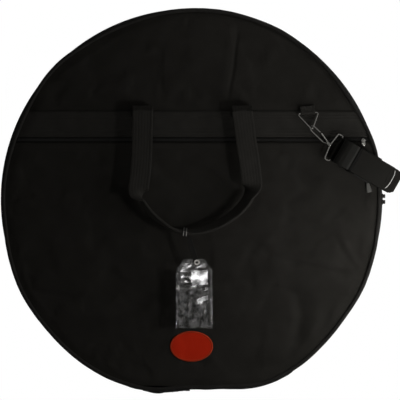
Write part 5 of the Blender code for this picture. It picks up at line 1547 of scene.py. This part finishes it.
CORD_BOX, GRIP_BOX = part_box("pocket_pull_cord"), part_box("pocket_pull_grip")
CORD_START = Vector(JOINTS["pocket_pull_swing"]["pos_m"])
CORD_END = Vector(((GRIP_BOX[0].x + GRIP_BOX[1].x) / 2, GRIP_BOX[1].y, (CORD_BOX[0].z + CORD_BOX[1].z) / 2))
CORD_GAP = 0.00075
cord_run = CORD_END - CORD_START
cord_side = Vector((-cord_run.y, cord_run.x, 0)).normalized()
CORD_SHARES = (0.0, 0.2, 0.4, 0.6, 0.8, 1.02)
for label, offset in (("a", -CORD_GAP), ("b", CORD_GAP)):
    cord_line = spline([tuple(CORD_START.lerp(CORD_END, s) + cord_side * offset) for s in CORD_SHARES], 8)
    cord = wire(f"pull_cord_{label}", cord_line, 0.00072, WEB, sides=8)
    dress(cord, "pocket_pull", ("pocket_pull_cord",) if label == "a" else ())
GRIP_LENGTH = 0.0176
grip_ahead = cord_run.normalized()
grip_middle = CORD_END + grip_ahead * (GRIP_LENGTH / 2 - 0.0005)
grip_middle.z = (GRIP_BOX[0].z + GRIP_BOX[1].z) / 2
GRIP_PLACE = (Matrix.Translation(grip_middle)
              @ Matrix.Rotation(math.atan2(grip_ahead.y, grip_ahead.x) + math.pi * 1.5, 4, "Z"))
grip = rounded_block("pull_grip", GRIP_PLACE, (0.0088, GRIP_LENGTH, GRIP_BOX[1].z - GRIP_BOX[0].z), GRIP,
                     (0.42, 0.85), 0.0009)
dress(grip, "pocket_pull", ("pocket_pull_grip",))


def wall_slider(name, turn):
    """The main zipper's slider: a curved plate over the coil, with a raised bridge for its pull."""
    count = 15
    parts = []
    caps = [tuple(range(20))[::-1], tuple((count - 1) * 20 + j for j in range(20))]
    for kind, span, reach, low, high in (("plate", 0.0082, 0.00525, 0.0006, 0.0022),
                                         ("bridge", 0.0066, 0.0016, 0.0022, 0.0040)):
        thetas = turn + np.linspace(-span / 2, span / 2, count) / RIM_R
        rings = []
        for number, theta in enumerate(thetas):
            share = abs(2 * number / (count - 1) - 1)
            shrink = 1 - 0.22 * ease((share - 0.55) / 0.45)
            top = high if kind == "plate" else low + (high - low) * math.sqrt(max(1 - share ** 3, 0.06))
            corner = min(0.0005, (top - low) / 2.1)
            out, up = np.transpose(round_corners((top - low) / 2, reach * shrink, corner, 5))
            r = RIM_R + (low + top) / 2 + out
            rings.append(stacked(r * math.cos(theta), r * math.sin(theta), GUSSET_MID_Z + up))
        parts.append((np.array(rings).reshape(-1, 3), grid_faces(count, 20, wrap=True) + caps))
    return merged(name, parts, BLACK_PLATE)


def wall_pull(name, joint, turn):
    """The slider's pull: a pierced tab with a raised border, hanging down the wall."""
    at = Vector(JOINTS[joint]["pos_m"])
    place = Matrix.Translation(at) @ Matrix.Rotation(turn, 4, "Z") @ Matrix.Rotation(math.pi / 2, 4, "Y")
    wide, long, thick = 0.0070, 0.0240, 0.0014
    # In the pull's frame +X points down the wall and +Z away from the bag
    outline, hole = [], []
    for i in range(48):
        a = math.tau * i / 48
        c, s = math.cos(a), math.sin(a)
        outline.append((long / 2 - 0.0011 + math.copysign(abs(c) ** 0.45, c) * long / 2,
                        math.copysign(abs(s) ** 0.55, s) * wide / 2 * (0.86 + 0.14 * (c + 1) / 2)))
        hole.append((0.0045 + c * 0.0030, s * 0.0020))
    outline, hole = np.array(outline), np.array(hole)
    # From the hole's edge over the rounded face to the tab's edge, and back on the other face
    layers = ((hole, 0.0002), (hole * 1.04 - (0.0002, 0), 0.0), (outline * 0.97 + (0.0003, 0), 0.0),
              (outline, 0.0003))
    loops = [np.insert(ring, 2, inset - thick / 2, axis=1) for ring, inset in layers]
    loops += [np.insert(ring, 2, thick / 2 - inset, axis=1) for ring, inset in layers[::-1]]
    return tube_mesh(name, placed(np.array(loops), place), BLACK_PLATE, closed=True)


for label in ("upper", "lower"):
    low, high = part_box(f"main_slider_{label}")
    slider_turn = math.atan2(low.y + high.y, low.x + high.x)
    slider = wall_slider(f"wall_slider_{label}", slider_turn)
    dress(slider, f"main_slider_{label}", (f"main_slider_{label}",))
    pull = wall_pull(f"wall_pull_{label}", f"main_pull_swing_{label}", slider_turn)
    dress(pull, f"main_pull_{label}", (f"main_pull_{label}",))


# CAD pieces that stay: the wire hardware and the strap's length adjuster

for node in ("front_ring", "snap_hook", "hook_gate", "swivel_eye", "back_ring", "inner_hook", "tag_eyelet",
             "strap_adjuster"):
    NODES[node].data.materials.clear()
    NODES[node].data.materials.append(PLASTIC if node == "strap_adjuster" else NICKEL)


# Floor, light and camera

def wired(tree, kinds, links):
    """Fills an empty node tree: short names with their kinds of node, and links from outputs to inputs."""
    tree.nodes.clear()
    made = {name: tree.nodes.new("ShaderNode" + kind) for name, kind in kinds.items()}
    for source, output, goal, socket in links:
        tree.links.new(made[source].outputs[output], made[goal].inputs[socket])
    return made


def floor():
    """White paper: bright to the camera, grey to the light that falls on the bag, and clear from below."""
    bpy.ops.mesh.primitive_plane_add(size=6.0, location=(0.0, 0.0, -0.0004))
    plane = bpy.context.object
    plane.name = "photo_floor"
    ground = bpy.data.materials.new("white_paper")
    ground.use_nodes = True
    made = wired(ground.node_tree,
                 {"out": "OutputMaterial", "mix": "MixShader", "back": "MixShader", "path": "LightPath",
                  "geometry": "NewGeometry", "shade": "BsdfDiffuse", "glow": "Emission",
                  "clear": "BsdfTransparent"},
                 (("path", "Is Camera Ray", "mix", 0), ("shade", 0, "mix", 1), ("glow", 0, "mix", 2),
                  ("geometry", "Backfacing", "back", 0), ("mix", 0, "back", 1), ("clear", 0, "back", 2),
                  ("back", 0, "out", "Surface")))
    made["shade"].inputs["Color"].default_value = (0.85, 0.85, 0.85, 1)
    made["glow"].inputs["Strength"].default_value = 1.0
    plane.data.materials.append(ground)


floor()

# The surroundings are white where the camera, or a shiny or clear surface, sees them, and dim as a light
world = bpy.context.scene.world or bpy.data.worlds.new("surroundings")
bpy.context.scene.world = world
world.use_nodes = True
surroundings = wired(world.node_tree,
                     {"out": "OutputWorld", "white": "Background", "fill": "Background", "path": "LightPath",
                      "glossy": "Math", "seen": "Math", "mix": "MixShader"},
                     (("path", "Is Camera Ray", "glossy", 0), ("path", "Is Glossy Ray", "glossy", 1),
                      ("glossy", 0, "seen", 0), ("path", "Is Transmission Ray", "seen", 1),
                      ("seen", 0, "mix", 0), ("fill", 0, "mix", 1), ("white", 0, "mix", 2),
                      ("mix", 0, "out", "Surface")))
for name, strength in (("fill", 0.06), ("white", 1.0)):
    surroundings[name].inputs["Color"].default_value = (1.0, 1.0, 1.0, 1)
    surroundings[name].inputs["Strength"].default_value = strength
for name in ("glossy", "seen"):
    surroundings[name].operation = "MAXIMUM"


def lamp(name, at, target, power, size, size_y=None):
    data = bpy.data.lights.new(name, "AREA")
    data.energy, data.size = power, size
    if size_y:
        data.shape, data.size_y = "RECTANGLE", size_y
    made = bpy.data.objects.new(name, data)
    made.location = at
    made.rotation_euler = (Vector(target) - Vector(at)).to_track_quat("-Z", "Y").to_euler()
    made.visible_camera = False
    bpy.context.scene.collection.objects.link(made)


lamp("key", (0.537, -0.175, 0.674), (0.0, 0.0, 0.03), 3.32, 0.10)
lamp("low", (0.429, -0.128, 0.252), (0.0, 0.0, 0.05), 1.65, 0.25)
lamp("side", (0.723, 0.268, 0.360), (0.0, 0.0, 0.05), 1.50, 0.25)
lamp("top", (0.113, 0.388, 0.200), (0.0, 0.0, 0.05), 0.22, 0.20)
lamp("glare", (0.0143, -0.160, 2.60), (0.0143, -0.160, 0.0), 1.9, 0.12, size_y=0.10)

camera = bpy.data.cameras.new("photo_camera")
camera.lens = SENSOR * CAMERA_HEIGHT / (FRAME_PIXELS * PIXEL)
camera.sensor_width = SENSOR
viewer = bpy.data.objects.new("photo_camera", camera)
viewer.location = (*from_photo(*CAMERA_PIXEL), SCALE_Z + CAMERA_HEIGHT)
bpy.context.scene.collection.objects.link(viewer)
bpy.context.scene.camera = viewer
bpy.context.scene.view_settings.view_transform = "Standard"
